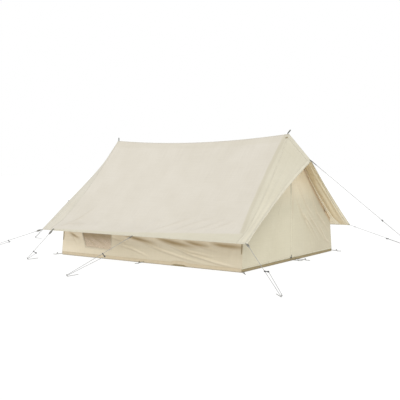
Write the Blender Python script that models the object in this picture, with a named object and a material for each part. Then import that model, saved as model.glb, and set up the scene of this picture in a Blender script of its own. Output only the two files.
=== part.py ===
"""A family ridge tent in canvas, pitched: roof with a hood at each end, walls, floor, door, poles and guys.

Units are metres. +X runs along the ridge to the front, +Y to the far side, +Z up.
The origin is the middle of the floor's underside.
"""

import math

import bmesh
import bpy
from mathutils import Matrix, Vector

# Floor and walls
FLOOR_LENGTH = 2.90
FLOOR_WIDTH = 2.20
RIM_HEIGHT = 0.035  # the groundsheet's upturned edge
WALL_LEAN = 0.05  # how far a side wall leans in at its top
CANVAS = 0.0015
GAP = 0.0003  # between pieces that are sewn or laid together
THROUGH = 0.1  # how far a cutter reaches past what it cuts
WALL_TOP_GAP = 0.0006  # from a wall's top edge to the cloth overhead

# Roof
RIDGE_HEIGHT = 1.55
RIDGE_IN = 0.025  # from the end wall in to the ridge's end
RIDGE_SAG = 0.065
ROOF_SAG = 0.065  # how far the cloth hangs below a straight line from the ridge to the side wall
WALL_TOP = 0.46  # the roof's height over the side wall
EAVE_OUT = 0.18  # the eave's hem from the foot of the side wall
EAVE_HEIGHT = 0.345
SEAM_OUT = 0.05  # from the end wall out to the hood's seam, at the eave

# Hoods
BEAK_REACH = 0.28  # from the end wall out to the hood's beak
BEAK_DROP = 0.335  # from the ridge down to the beak
CORNER_REACH = 0.19  # from the end wall out to the eave's corner, which the corner guy draws out
HOOD_CURVE = 0.03  # how far the hood's free edge curves in
HOOD_LIFT = 0.02

# Door
DOOR_TOP = 1.30  # where the fold lines would meet
DOOR_HALF = 0.55  # from the zip to the foot of the fold line
LEAF_DROP = 0.05  # the leaf is cut off this far under the meeting of the fold lines
HINGE_OUT = 0.001
HINGE_GAP = 0.0004  # from the fold line to the cloth on each side

# Zip
CHAIN_WIDTH = 0.006
CHAIN_THICK = 0.003
CHAIN_TOP = 1.125
SLIDER_LENGTH = 0.014
SLIDER_LOW = 0.060
SLIDER_WALL = 0.0012
SLIDER_CLEARANCE = 0.0003
SLIDER_PAST = 0.0015  # how far the slider's plates reach past the chain
PULL_LENGTH = 0.034
PULL_WIDTH = 0.007
PULL_THICK = 0.0015
PULL_GAP = 0.0005

# Windows
WINDOW_LOW = 0.13
WINDOW_HEIGHT = 0.27
WINDOW_FOOT = (0.445, 0.918)  # its corners, from the rear end of the wall
WINDOW_HEAD = (0.330, 0.888)
MESH_THICK = 0.001
MESH_LAP = 0.015
FLAP_LAP = 0.020
FLAP_THICK = 0.001

# Poles
POLE_IN = 0.016  # from the ridge's end in to the pole's axis
TUBE_RADIUS = 0.0125
TUBE_WALL = 0.0015
FIT = 0.0003  # between a spigot and the tube that it fits
POLE_JOIN = 0.80
SPIGOT_LENGTH = 0.08
HEAD_DROP = 0.026  # from the ridge to the tube's top, where the slopes are just wide enough apart for it
FOOT_RADIUS = 0.0155
FOOT_HEIGHT = 0.030
FOOT_BASE = 0.004
SPIKE_RADIUS = 0.004
SPIKE_ABOVE = 0.042  # how far the rear spike stands above the ridge
SPIKE_FLANGE = 0.003
SPIKE_PLUG = 0.035
FRONT_BEND_ABOVE = 0.006
FRONT_SPIKE_LEAN = math.radians(48)
FRONT_SPIKE_REACH = 0.050
GROMMET_CLEARANCE = 0.0004
SIDES = 24

# Guys
ROPE_RADIUS = 0.0025
TAB_LENGTH = 0.075
TAB_IN = 0.012  # how far a tab is sewn into the hem
TAB_WIDTH = 0.018
TAB_THICK = 0.003
LOOP_RADIUS = 0.009
LOOP_HEIGHT = 0.016
LOOP_POINTS = 9
ADJUSTER_PITCH = 0.020  # from one of its holes to the next
ADJUSTER_END = 0.0075
ADJUSTER_WAIST = 0.0042
ADJUSTER_THICK = 0.005
ADJUSTER_HOLE = 0.0031
PEG_RADIUS = 0.003
PEG_LENGTH = 0.17
PEG_POINT = 0.012
PEG_POINT_WIDTH = 0.25  # the point's end, as a share of the rod's width
PEG_BEND = 0.006
PEG_HEIGHT = 0.026
PEG_CURL = 0.006
SIDE_TAB_IN = 0.02  # the short side guy's tab, from the rear end wall

# Toggles that hold a leaf of the door back
TOGGLE_ALONG = 0.888
TOGGLE_DROP = 0.030  # from the roof's underside
TOGGLE_LENGTH = 0.045
TOGGLE_RADIUS = 0.005

HALF_LENGTH = FLOOR_LENGTH / 2
LEAF_TOP = DOOR_TOP - LEAF_DROP
HALF_WIDTH = FLOOR_WIDTH / 2
RIDGE_HALF = HALF_LENGTH - RIDGE_IN
SEAM_EAVE_HALF = HALF_LENGTH + SEAM_OUT
BEAK_OUT = HALF_LENGTH + BEAK_REACH
BEAK_HEIGHT = RIDGE_HEIGHT - BEAK_DROP
CORNER_OUT = HALF_LENGTH + CORNER_REACH
POLE_OUT = RIDGE_HALF - POLE_IN
POLE_HEAD = RIDGE_HEIGHT - HEAD_DROP
WINDOW_HIGH = WINDOW_LOW + WINDOW_HEIGHT
WALL_TOP_HALF = HALF_WIDTH - WALL_LEAN
EAVE_HALF = HALF_WIDTH + EAVE_OUT
ROOF_SLOPE = (RIDGE_HEIGHT - WALL_TOP) / WALL_TOP_HALF
ROOF_DROP = CANVAS * math.hypot(1, ROOF_SLOPE)
CLOTH_BOTTOM = RIM_HEIGHT + GAP

# A guy has a name, the point on the hem that it holds, how far out from there its peg is along X and Y,
# how far up the line from the peg its adjuster sits, and the degrees that the adjuster hangs from level
SIDE_TAB = SIDE_TAB_IN - HALF_LENGTH
GUYS = (
    ("front_near", (CORNER_OUT, -EAVE_HALF, EAVE_HEIGHT), (0.86, -0.77), 0.52, 10),
    ("front_far", (CORNER_OUT, EAVE_HALF, EAVE_HEIGHT), (0.66, 0.60), 0.39, 10),
    ("rear_near", (-CORNER_OUT, -EAVE_HALF, EAVE_HEIGHT), (-0.59, -1.01), 0.76, 25),
    ("rear_far", (-CORNER_OUT, EAVE_HALF, EAVE_HEIGHT), (-0.59, 1.01), 0.76, 25),
    ("middle_near", (0, -EAVE_HALF, EAVE_HEIGHT), (0, -1.04), 0.57, 55),
    ("middle_far", (0, EAVE_HALF, EAVE_HEIGHT), (0, 1.04), 0.57, 55),
    ("side_near", (SIDE_TAB, -EAVE_HALF, EAVE_HEIGHT), (-0.02, -0.40), 0.125, 45),
    ("side_far", (SIDE_TAB, EAVE_HALF, EAVE_HEIGHT), (-0.02, 0.40), 0.125, 45),
    ("front_beak", (BEAK_OUT, 0, BEAK_HEIGHT), (1.57, 0), 0.87, 20),
    ("rear_beak", (-BEAK_OUT, 0, BEAK_HEIGHT), (-1.72, 0.10), 1.12, 20),
)
HOOD_TABS = {
    "front_hood": ("front_near", "front_far", "front_beak"),
    "rear_hood": ("rear_near", "rear_far", "rear_beak"),
}
ROOF_TABS = {"roof_near": ("middle_near", "side_near"), "roof_far": ("middle_far", "side_far")}

COLOURS = {
    "canvas": ((0.76, 0.71, 0.60), 0.9, 0.0),
    "groundsheet": ((0.30, 0.22, 0.13), 0.7, 0.0),
    "mesh": ((0.42, 0.33, 0.23), 0.9, 0.0),
    "steel": ((0.45, 0.45, 0.44), 0.4, 1.0),
    "rubber": ((0.03, 0.03, 0.03), 0.8, 0.0),
    "plastic": ((0.06, 0.06, 0.06), 0.5, 0.0),
    "rope": ((0.40, 0.40, 0.385), 0.85, 0.0),
    "zip_tape": ((0.50, 0.45, 0.34), 0.6, 0.0),
    "wood": ((0.23, 0.14, 0.07), 0.6, 0.0),
}


def clear_scene():
    for old in list(bpy.data.objects):
        bpy.data.objects.remove(old)


def make_material(node, finish):
    colour, roughness, metallic = COLOURS[finish]
    material = bpy.data.materials.new(node)
    material.use_nodes = True
    shader = material.node_tree.nodes["Principled BSDF"]
    shader.inputs["Base Color"].default_value = (*colour, 1)
    shader.inputs["Roughness"].default_value = roughness
    shader.inputs["Metallic"].default_value = metallic
    return material


def add_node(name, bm, finish, smooth=False, place=None):
    """One sub-part from a bmesh, with its normals out."""
    bmesh.ops.recalc_face_normals(bm, faces=bm.faces)
    mesh = bpy.data.meshes.new(name)
    bm.to_mesh(mesh)
    bm.free()
    if smooth:
        mesh.shade_smooth()
        mesh.set_sharp_from_angle(angle=math.radians(40))
    mesh.materials.append(make_material(name, finish))
    node = bpy.data.objects.new(name, mesh)
    if place is not None:
        node.matrix_world = place
    bpy.context.scene.collection.objects.link(node)
    return node


def add_tool(name, bm):
    """A shape that is cut from or joined to another, and isn't a sub-part itself."""
    bmesh.ops.recalc_face_normals(bm, faces=bm.faces)
    mesh = bpy.data.meshes.new(name)
    bm.to_mesh(mesh)
    bm.free()
    tool = bpy.data.objects.new(name, mesh)
    tool.hide_render = True
    tool.display_type = "WIRE"
    bpy.context.scene.collection.objects.link(tool)
    return tool


def combine(node, tool, operation):
    boolean = node.modifiers.new(tool.name, "BOOLEAN")
    boolean.operation = operation
    boolean.solver = "EXACT"
    boolean.object = tool


def fill_four(bm, a, b, c, d):
    """Two triangles for four points that aren't quite flat, split along the higher diagonal."""
    if (a.co + c.co).z > (b.co + d.co).z:
        bm.faces.new((a, b, c))
        bm.faces.new((a, c, d))
    else:
        bm.faces.new((a, b, d))
        bm.faces.new((b, c, d))


def sheet(rows, drop):
    """A closed sheet: rows of points on its top face, and the same points lower by drop."""
    bm = bmesh.new()
    top = [[bm.verts.new(point) for point in row] for row in rows]
    low = [[bm.verts.new(Vector(point) - Vector((0, 0, drop))) for point in row] for row in rows]
    for layer in (top, low):
        for row, following in zip(layer, layer[1:]):
            for a in range(len(row) - 1):
                fill_four(bm, row[a], row[a + 1], following[a + 1], following[a])
    for a in range(len(top[0]) - 1):
        for k in (0, -1):
            bm.faces.new((top[k][a], top[k][a + 1], low[k][a + 1], low[k][a]))
    for k in range(len(top) - 1):
        for a in (0, -1):
            bm.faces.new((top[k][a], top[k + 1][a], low[k + 1][a], low[k][a]))
    return bm


def plate(outline, thickness):
    """A flat or slightly bent plate: an outline of points, drawn out by a vector."""
    bm = bmesh.new()
    face = bm.faces.new([bm.verts.new(point) for point in outline])
    drawn = bmesh.ops.extrude_face_region(bm, geom=[face])["geom"]
    for vert in drawn:
        if isinstance(vert, bmesh.types.BMVert):
            vert.co += Vector(thickness)
    return bm


def block(low, high):
    bm = bmesh.new()
    bmesh.ops.create_cube(bm, size=1)
    for vert in bm.verts:
        vert.co = Vector(
            (high[k] if vert.co[k] > 0 else low[k]) for k in range(3)
        )
    return bm


def turned(profile, sides=SIDES):
    """A round piece about Z: the profile's (radius, height) points spun once."""
    bm = bmesh.new()
    closed = profile[0][0] > 0 and profile[-1][0] > 0
    verts = [bm.verts.new((radius, 0, height)) for radius, height in profile]
    edges = [bm.edges.new(pair) for pair in zip(verts, verts[1:])]
    if closed:
        edges.append(bm.edges.new((verts[-1], verts[0])))
    bmesh.ops.spin(
        bm, geom=verts + edges, axis=(0, 0, 1), cent=(0, 0, 0), angle=math.tau, steps=sides, use_merge=True
    )
    bmesh.ops.remove_doubles(bm, verts=bm.verts, dist=0.00001)
    return bm


def rod(name, points, radius, finish, tapers=None, sides=2):
    """A round rod or rope along points, with filled ends."""
    curve = bpy.data.curves.new(name, "CURVE")
    curve.dimensions = "3D"
    curve.bevel_depth = radius
    curve.bevel_resolution = sides
    curve.use_fill_caps = True
    spline = curve.splines.new("POLY")
    spline.points.add(len(points) - 1)
    for k, point in enumerate(points):
        spline.points[k].co = (*point, 1)
        spline.points[k].radius = tapers[k] if tapers else 1
    curve.materials.append(make_material(name, finish))
    node = bpy.data.objects.new(name, curve)
    bpy.context.scene.collection.objects.link(node)
    return node


def mix(a, b, share):
    return a + (b - a) * share


def roof_height(x, y):
    """The top of the roof between its two hood seams."""
    across = abs(y)
    ridge = RIDGE_HEIGHT - RIDGE_SAG * (1 - min(1, abs(x) / RIDGE_HALF) ** 2)
    if across <= WALL_TOP_HALF:
        share = across / WALL_TOP_HALF
        return mix(ridge, WALL_TOP, share) - 4 * ROOF_SAG * share * (1 - share)
    return mix(WALL_TOP, EAVE_HEIGHT, (across - WALL_TOP_HALF) / (EAVE_HALF - WALL_TOP_HALF))


def seam_out(across):
    """How far along X the hood's seam is, at a distance across from the ridge."""
    return mix(RIDGE_HALF, SEAM_EAVE_HALF, across / EAVE_HALF)


def hood_edge(across):
    """The hood's free edge, as (x, z), at a distance across from the ridge."""
    share = across / EAVE_HALF
    curve = 4 * share * (1 - share)
    out = mix(BEAK_OUT, CORNER_OUT, share) - HOOD_CURVE * curve
    return out, mix(BEAK_HEIGHT, EAVE_HEIGHT, share) + HOOD_LIFT * curve


def hood_height(x, y):
    across = abs(y)
    start = seam_out(across)
    out, low = hood_edge(across)
    return mix(roof_height(start, across), low, (abs(x) - start) / (out - start))


def cover_height(x, y):
    """The top of the cloth overhead, roof or hood."""
    return roof_height(x, y) if abs(x) <= seam_out(abs(y)) else hood_height(x, y)


def underside(x, y):
    return cover_height(x, y) - ROOF_DROP - WALL_TOP_GAP


def spread(low, high, count):
    return [mix(low, high, k / count) for k in range(count + 1)]


ACROSS = spread(0, WALL_TOP_HALF, 7) + spread(WALL_TOP_HALF, EAVE_HALF, 2)[1:]
ALONG = spread(-1, 1, 12)


def guy_named(name):
    return next(guy for guy in GUYS if guy[0] == name)


def guy_frame(guy):
    """A guy's hem point, its loop's middle, the ways down and sideways, and its taut strand's ends."""
    _, hem, run, _, _ = guy
    hem = Vector(hem)
    middle = Vector((hem.x + run[0], hem.y + run[1], LOOP_HEIGHT))
    down = (middle - hem).normalized()
    side = Vector((0, 0, 1)).cross(down).normalized()
    start = hem + down * (TAB_LENGTH + GAP)
    taut = middle - side * LOOP_RADIUS
    return hem, middle, down, side, start, taut


def adjuster_ways(guy):
    """The way up a guy's taut strand and the way along its adjuster, which hangs turned about the strand."""
    _, _, _, side, start, taut = guy_frame(guy)
    up = (start - taut).normalized()
    level = (side - up * side.dot(up)).normalized()
    below = level.cross(up)
    if below.z > 0:
        below = -below
    turn = math.radians(guy[4])
    return up, level * math.cos(turn) + below * math.sin(turn)


def make_tabs(node, names):
    """The webbing tabs that the guys tie to, sewn into the hem."""
    for name in names:
        hem, _, down, side, _, _ = guy_frame(guy_named(name))
        bm = block((-TAB_IN, -TAB_WIDTH / 2, -TAB_THICK / 2), (TAB_LENGTH, TAB_WIDTH / 2, TAB_THICK / 2))
        turn = Matrix((down, side, down.cross(side))).transposed().to_4x4()
        bm.transform(Matrix.Translation(hem) @ turn)
        combine(node, add_tool("tab_" + name, bm), "UNION")


def spike_hole(node, name):
    """The grommet hole at the ridge end, half of it in each side of the roof."""
    for end in (-1, 1):
        bm = bmesh.new()
        radius = SPIKE_RADIUS + GROMMET_CLEARANCE
        bmesh.ops.create_cone(
            bm, cap_ends=True, segments=SIDES, radius1=radius, radius2=radius, depth=2 * THROUGH,
            matrix=Matrix.Translation((end * POLE_OUT, 0, RIDGE_HEIGHT)),
        )
        combine(node, add_tool(f"{name}_{'front' if end > 0 else 'rear'}_grommet", bm), "DIFFERENCE")


def make_roof(name, side):
    """One slope of the roof, from the ridge seam to the eave's hem."""
    rows = []
    for across in ACROSS:
        y = side * max(across, GAP / 2)
        seam = seam_out(across)
        rows.append([(share * (seam - GAP / 2), y, roof_height(share * seam, y)) for share in ALONG])
    node = add_node(name, sheet(rows, ROOF_DROP), "canvas")
    spike_hole(node, name)
    make_tabs(node, ROOF_TABS[name])


def make_hood(name, end):
    """The hood over one end, from the seam to its free edge."""
    rows = []
    for y in [-across for across in reversed(ACROSS[1:])] + ACROSS:
        across = abs(y)
        start = seam_out(across) + GAP / 2
        out = hood_edge(across)[0]
        rows.append([(end * x, y, hood_height(x, across)) for x in spread(start, out, 3)])
    node = add_node(name, sheet(rows, ROOF_DROP), "canvas")
    make_tabs(node, HOOD_TABS[name])


def wall_face(z):
    """How far out the side wall's outer face is at a height."""
    return HALF_WIDTH - WALL_LEAN * (z - CLOTH_BOTTOM) / (WALL_TOP - CLOTH_BOTTOM)


def make_side_wall(name, side):
    top = WALL_TOP - ROOF_DROP - WALL_TOP_GAP
    reach = HALF_LENGTH - CANVAS - GAP
    outline = [
        (-reach, side * wall_face(CLOTH_BOTTOM), CLOTH_BOTTOM),
        (reach, side * wall_face(CLOTH_BOTTOM), CLOTH_BOTTOM),
        (reach, side * wall_face(top), top),
        (-reach, side * wall_face(top), top),
    ]
    node = add_node(name, plate(outline, (0, -side * CANVAS, 0)), "canvas")
    opening = window_outline(0)
    bm = plate([(x, side * (HALF_WIDTH + THROUGH), z) for x, z in opening], (0, -2 * side * THROUGH, 0))
    combine(node, add_tool(name + "_window", bm), "DIFFERENCE")


def window_outline(lap):
    """The window's corners as (x, z), grown by lap."""
    return [
        (WINDOW_FOOT[0] - HALF_LENGTH - lap, WINDOW_LOW - lap),
        (WINDOW_FOOT[1] - HALF_LENGTH + lap, WINDOW_LOW - lap),
        (WINDOW_HEAD[1] - HALF_LENGTH + lap, WINDOW_HIGH + lap),
        (WINDOW_HEAD[0] - HALF_LENGTH - lap, WINDOW_HIGH + lap),
    ]


def make_window(side_name, side):
    """The net behind the opening, and the flap that hangs plumb inside it."""
    outline = [(x, side * (wall_face(z) - CANVAS - GAP), z) for x, z in window_outline(MESH_LAP)]
    add_node("window_mesh_" + side_name, plate(outline, (0, -side * MESH_THICK, 0)), "mesh")
    hinge_height = WINDOW_HIGH + MESH_LAP
    hinge_across = wall_face(hinge_height) - CANVAS - GAP - MESH_THICK - GAP
    low = WINDOW_LOW - FLAP_LAP - hinge_height
    left = min(WINDOW_HEAD[0], WINDOW_FOOT[0]) - HALF_LENGTH - FLAP_LAP
    right = max(WINDOW_HEAD[1], WINDOW_FOOT[1]) - HALF_LENGTH + FLAP_LAP
    outline = [(left, 0, low), (right, 0, low), (right, 0, 0), (left, 0, 0)]
    place = Matrix.Translation((0, side * hinge_across, hinge_height))
    add_node("window_flap_" + side_name, plate(outline, (0, -side * FLAP_THICK, 0)), "canvas", place=place)


def roof_line(x, side):
    """Points up the end wall's top edge, from the side wall to the ridge, one where the seam crosses it."""
    crossing = EAVE_HALF * (abs(x) - RIDGE_HALF) / (SEAM_EAVE_HALF - RIDGE_HALF)
    across = sorted([crossing] + [a for a in ACROSS if 0 < a <= WALL_TOP_HALF], reverse=True)
    return [(x, side * a, underside(x, a)) for a in across]


def make_rear_wall():
    x = -HALF_LENGTH
    outline = [(x, -HALF_WIDTH, CLOTH_BOTTOM)] + roof_line(x, -1)
    outline += [(x, 0, underside(x, 0))] + list(reversed(roof_line(x, 1))) + [(x, HALF_WIDTH, CLOTH_BOTTOM)]
    add_node("rear_wall", plate(outline, (CANVAS, 0, 0)), "canvas")


def fold_across(z):
    """How far from the middle the door's fold line is at a height."""
    return DOOR_HALF * (DOOR_TOP - z) / (DOOR_TOP - CLOTH_BOTTOM)


def fold_offset():
    """The clearance at the fold line, measured level."""
    return HINGE_GAP * math.hypot(1, DOOR_HALF / (DOOR_TOP - CLOTH_BOTTOM))


def make_front_wall(side_name, side):
    """The fixed cloth beside and above one leaf of the door."""
    x = HALF_LENGTH
    head = LEAF_TOP + GAP
    outline = [(x, side * HALF_WIDTH, CLOTH_BOTTOM)] + roof_line(x, side)
    outline += [
        (x, side * GAP / 2, underside(x, 0)),
        (x, side * GAP / 2, head),
        (x, side * (fold_across(head) + fold_offset()), head),
        (x, side * (DOOR_HALF + fold_offset()), CLOTH_BOTTOM),
    ]
    add_node("front_wall_" + side_name, plate(outline, (-CANVAS, 0, 0)), "canvas")


def make_leaf(side_name, side, edge):
    """One leaf of the door. Its object lies on the fold line, on which it turns."""
    foot = CLOTH_BOTTOM + GAP
    hinge = Vector((HALF_LENGTH + HINGE_OUT, side * DOOR_HALF, CLOTH_BOTTOM))
    outline = [
        (HALF_LENGTH, side * edge, foot),
        (HALF_LENGTH, side * (fold_across(foot) - fold_offset()), foot),
        (HALF_LENGTH, side * (fold_across(LEAF_TOP) - fold_offset()), LEAF_TOP),
        (HALF_LENGTH, side * edge, LEAF_TOP),
    ]
    outline = [Vector(point) - hinge for point in outline]
    place = Matrix.Translation(hinge)
    add_node("door_leaf_" + side_name, plate(outline, (-CANVAS, 0, 0)), "canvas", place=place)


def make_zip():
    """The chain on the near leaf's edge, the slider that wraps it on three sides, and the slider's pull."""
    middle = HALF_LENGTH - CANVAS / 2
    half = CHAIN_WIDTH / 2
    low = (middle - CHAIN_THICK / 2, -half, CLOTH_BOTTOM + GAP)
    add_node("zip_chain", block(low, (middle + CHAIN_THICK / 2, half, CHAIN_TOP)), "zip_tape")
    inner = CHAIN_THICK / 2 + SLIDER_CLEARANCE
    outer = inner + SLIDER_WALL
    web = half + SLIDER_CLEARANCE
    near = -half - SLIDER_PAST
    section = [
        (-outer, near), (-outer, web + SLIDER_WALL), (outer, web + SLIDER_WALL), (outer, near),
        (inner, near), (inner, web), (-inner, web), (-inner, near),
    ]
    bm = plate([(x, y, 0) for x, y in section], (0, 0, SLIDER_LENGTH))
    add_node("zip_slider", bm, "steel", place=Matrix.Translation((middle, 0, SLIDER_LOW)))
    face = middle + outer + PULL_GAP
    pivot = (face + PULL_THICK / 2, 0, SLIDER_LOW + SLIDER_LENGTH / 2)
    bm = block(
        (-PULL_THICK / 2, -PULL_WIDTH / 2, PULL_THICK / 2 - PULL_LENGTH),
        (PULL_THICK / 2, PULL_WIDTH / 2, PULL_THICK / 2),
    )
    add_node("zip_pull", bm, "plastic", place=Matrix.Translation(pivot))


def make_groundsheet():
    """The floor with its edge turned up all round."""
    bm = block((-HALF_LENGTH, -HALF_WIDTH, 0), (HALF_LENGTH, HALF_WIDTH, RIM_HEIGHT))
    top = max(bm.faces, key=lambda face: face.calc_center_median().z)
    bmesh.ops.inset_region(bm, faces=[top], thickness=CANVAS, use_even_offset=True)
    drawn = bmesh.ops.extrude_face_region(bm, geom=[top])["geom"]
    for vert in drawn:
        if isinstance(vert, bmesh.types.BMVert):
            vert.co.z = CANVAS
    bmesh.ops.delete(bm, geom=[top], context="FACES")
    add_node("groundsheet", bm, "groundsheet")


def make_pole(end_name, end):
    """An upright pole in two tubes, with a rubber foot and the spike that goes through the ridge."""
    stand = CANVAS + GAP
    axis = Matrix.Translation((end * POLE_OUT, 0, 0))
    bore = TUBE_RADIUS - TUBE_WALL
    tube_foot = stand + FOOT_BASE + GAP
    cup = TUBE_RADIUS + FIT
    foot = [
        (0, stand), (FOOT_RADIUS, stand), (FOOT_RADIUS, stand + FOOT_HEIGHT),
        (cup, stand + FOOT_HEIGHT), (cup, stand + FOOT_BASE), (0, stand + FOOT_BASE),
    ]
    add_node(f"{end_name}_pole_foot", turned(foot), "rubber", smooth=True, place=axis)
    lower = [(TUBE_RADIUS, tube_foot), (TUBE_RADIUS, POLE_JOIN), (bore, POLE_JOIN), (bore, tube_foot)]
    add_node(f"{end_name}_pole_lower", turned(lower), "steel", smooth=True, place=axis)
    spigot = bore - FIT
    join = POLE_JOIN + GAP
    narrow = spigot - TUBE_WALL
    upper = [
        (spigot, join - SPIGOT_LENGTH), (spigot, join), (TUBE_RADIUS, join), (TUBE_RADIUS, POLE_HEAD),
        (bore, POLE_HEAD), (bore, join + TUBE_WALL), (narrow, join), (narrow, join - SPIGOT_LENGTH),
    ]
    add_node(f"{end_name}_pole_upper", turned(upper), "steel", smooth=True, place=axis)
    seat = POLE_HEAD + GAP
    bend = RIDGE_HEIGHT + (FRONT_BEND_ABOVE if end > 0 else SPIKE_ABOVE)
    spike = [
        (0, seat - SPIKE_PLUG), (bore - FIT, seat - SPIKE_PLUG), (bore - FIT, seat), (TUBE_RADIUS, seat),
        (TUBE_RADIUS, seat + SPIKE_FLANGE), (SPIKE_RADIUS, seat + SPIKE_FLANGE), (SPIKE_RADIUS, bend),
        (0, bend),
    ]
    bm = turned(spike)
    if end > 0:
        lean_spike(bm, bend)
    add_node(f"{end_name}_pole_spike", bm, "steel", smooth=True, place=axis)


def lean_spike(bm, bend):
    """Draws the front spike's top on, leaning out over the hood."""
    bm.faces.ensure_lookup_table()
    ring = [face for face in bm.faces if all(abs(vert.co.z - bend) < 0.00001 for vert in face.verts)]
    turns = 4
    for step in range(turns):
        drawn = bmesh.ops.extrude_face_region(bm, geom=ring)["geom"]
        bmesh.ops.delete(bm, geom=ring, context="FACES")
        verts = [item for item in drawn if isinstance(item, bmesh.types.BMVert)]
        ring = [item for item in drawn if isinstance(item, bmesh.types.BMFace)]
        knee = Vector((2 * SPIKE_RADIUS, 0, bend))
        bmesh.ops.rotate(
            bm, verts=verts, cent=knee, matrix=Matrix.Rotation(FRONT_SPIKE_LEAN / turns, 3, "Y")
        )
    drawn = bmesh.ops.extrude_face_region(bm, geom=ring)["geom"]
    bmesh.ops.delete(bm, geom=ring, context="FACES")
    verts = [item for item in drawn if isinstance(item, bmesh.types.BMVert)]
    out = Vector((math.sin(FRONT_SPIKE_LEAN), 0, math.cos(FRONT_SPIKE_LEAN)))
    bmesh.ops.translate(bm, verts=verts, vec=out * FRONT_SPIKE_REACH)


def dog_bone():
    """An adjuster's outline: a round end about each outer hole, and a waist between."""
    points = []
    far = 2 * ADJUSTER_PITCH
    for k in range(9):
        turn = math.radians(mix(60, 300, k / 8))
        points.append((ADJUSTER_END * math.cos(turn), ADJUSTER_END * math.sin(turn)))
    points.append((ADJUSTER_PITCH, -ADJUSTER_WAIST))
    for k in range(9):
        turn = math.radians(mix(-120, 120, k / 8))
        points.append((far + ADJUSTER_END * math.cos(turn), ADJUSTER_END * math.sin(turn)))
    points.append((ADJUSTER_PITCH, ADJUSTER_WAIST))
    return points


def ring_edges(bm, points):
    verts = [bm.verts.new((x, y, -ADJUSTER_THICK / 2)) for x, y in points]
    return [bm.edges.new(pair) for pair in zip(verts, verts[1:] + verts[:1])]


def make_adjuster(name, guy):
    """A flat adjuster with three holes. Its object lies on the line, with Z up the line."""
    taut = guy_frame(guy)[5]
    up, across = adjuster_ways(guy)
    bm = bmesh.new()
    edges = ring_edges(bm, dog_bone())
    for hole in range(3):
        turns = [math.tau * k / 12 for k in range(12)]
        radius = ADJUSTER_HOLE if hole != 1 else ADJUSTER_HOLE * 0.8
        edges += ring_edges(
            bm, [(hole * ADJUSTER_PITCH + radius * math.cos(t), radius * math.sin(t)) for t in turns]
        )
    faces = bmesh.ops.triangle_fill(bm, use_beauty=True, edges=edges)["geom"]
    faces = [item for item in faces if isinstance(item, bmesh.types.BMFace)]
    drawn = bmesh.ops.extrude_face_region(bm, geom=faces)["geom"]
    for vert in drawn:
        if isinstance(vert, bmesh.types.BMVert):
            vert.co.z = ADJUSTER_THICK / 2
    place = Matrix((across, up.cross(across), up)).transposed().to_4x4()
    place.translation = taut + up * guy[3]
    add_node(f"guy_{name}_adjuster", bm, "plastic", place=place)


def make_rope(name, guy):
    """The line from the tab through the adjuster, round the peg and back to the adjuster's end hole."""
    _, middle, down, side, start, taut = guy_frame(guy)
    up, across = adjuster_ways(guy)
    points = [start.lerp(taut, k / 12) for k in range(12)]
    for k in range(LOOP_POINTS):
        turn = math.pi * k / (LOOP_POINTS - 1)
        points.append(middle - side * LOOP_RADIUS * math.cos(turn) + down * LOOP_RADIUS * math.sin(turn))
    back = taut + up * (guy[3] - ADJUSTER_THICK / 2 - GAP) + across * 2 * ADJUSTER_PITCH
    points += [points[-1].lerp(back, k / 6) for k in range(1, 7)]
    rod(f"guy_{name}_rope", points, ROPE_RADIUS, "rope")


def make_peg(name, guy):
    """A hooked peg laid on the ground under its line, its bent head inside the loop."""
    _, middle, down, _, _, _ = guy_frame(guy)
    out = Vector((down.x, down.y, 0)).normalized()
    level = math.hypot(down.x, down.y)
    post = Vector((middle.x, middle.y, 0)) + out * (LOOP_RADIUS * level - ROPE_RADIUS - PEG_RADIUS - GAP)
    path = [(-PEG_LENGTH, PEG_RADIUS), (PEG_POINT - PEG_LENGTH, PEG_RADIUS)]
    for k in range(5):
        turn = math.pi / 2 * k / 4
        path.append((-PEG_BEND * (1 - math.sin(turn)), PEG_RADIUS + PEG_BEND * (1 - math.cos(turn))))
    for k in range(7):
        turn = math.pi * k / 6
        path.append((PEG_CURL * (1 - math.cos(turn)), PEG_HEIGHT - PEG_CURL + PEG_CURL * math.sin(turn)))
    tapers = [PEG_POINT_WIDTH] + [1] * (len(path) - 1)
    points = [post + out * a + Vector((0, 0, z)) for a, z in path]
    rod(f"guy_{name}_peg", points, PEG_RADIUS, "steel", tapers)


def make_toggle(side_name, side):
    """The toggle on the end wall that a rolled leaf is tied back with."""
    across = TOGGLE_ALONG
    height = underside(HALF_LENGTH, across) - TOGGLE_DROP
    slope = math.atan2(
        underside(HALF_LENGTH, across - 0.1) - underside(HALF_LENGTH, across + 0.1), 0.2
    )
    bm = bmesh.new()
    bmesh.ops.create_cone(
        bm, cap_ends=True, segments=12, radius1=TOGGLE_RADIUS, radius2=TOGGLE_RADIUS, depth=TOGGLE_LENGTH
    )
    turn = Matrix.Rotation(side * (math.pi / 2 - slope), 4, "X")
    place = Matrix.Translation((HALF_LENGTH + TOGGLE_RADIUS + GAP, side * across, height)) @ turn
    add_node("door_toggle_" + side_name, bm, "wood", smooth=True, place=place)


def make_tent():
    clear_scene()
    make_groundsheet()
    for side_name, side in (("near", -1), ("far", 1)):
        make_roof("roof_" + side_name, side)
        make_side_wall("side_wall_" + side_name, side)
        make_window(side_name, side)
        make_front_wall(side_name, side)
        make_toggle(side_name, side)
    chain_side = CHAIN_WIDTH / 2
    make_leaf("near", -1, chain_side + GAP)
    make_leaf("far", 1, chain_side + SLIDER_CLEARANCE + SLIDER_WALL + 2 * GAP)
    make_rear_wall()
    make_zip()
    for end_name, end in (("front", 1), ("rear", -1)):
        make_hood(end_name + "_hood", end)
        make_pole(end_name, end)
    for guy in GUYS:
        make_rope(guy[0], guy)
        make_adjuster(guy[0], guy)
        make_peg(guy[0], guy)


make_tent()
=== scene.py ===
"""The looks of a pitched canvas ridge tent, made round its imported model.

Units are metres. +X runs along the ridge to the front, +Y to the far side, +Z up, as in the model.
"""

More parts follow.
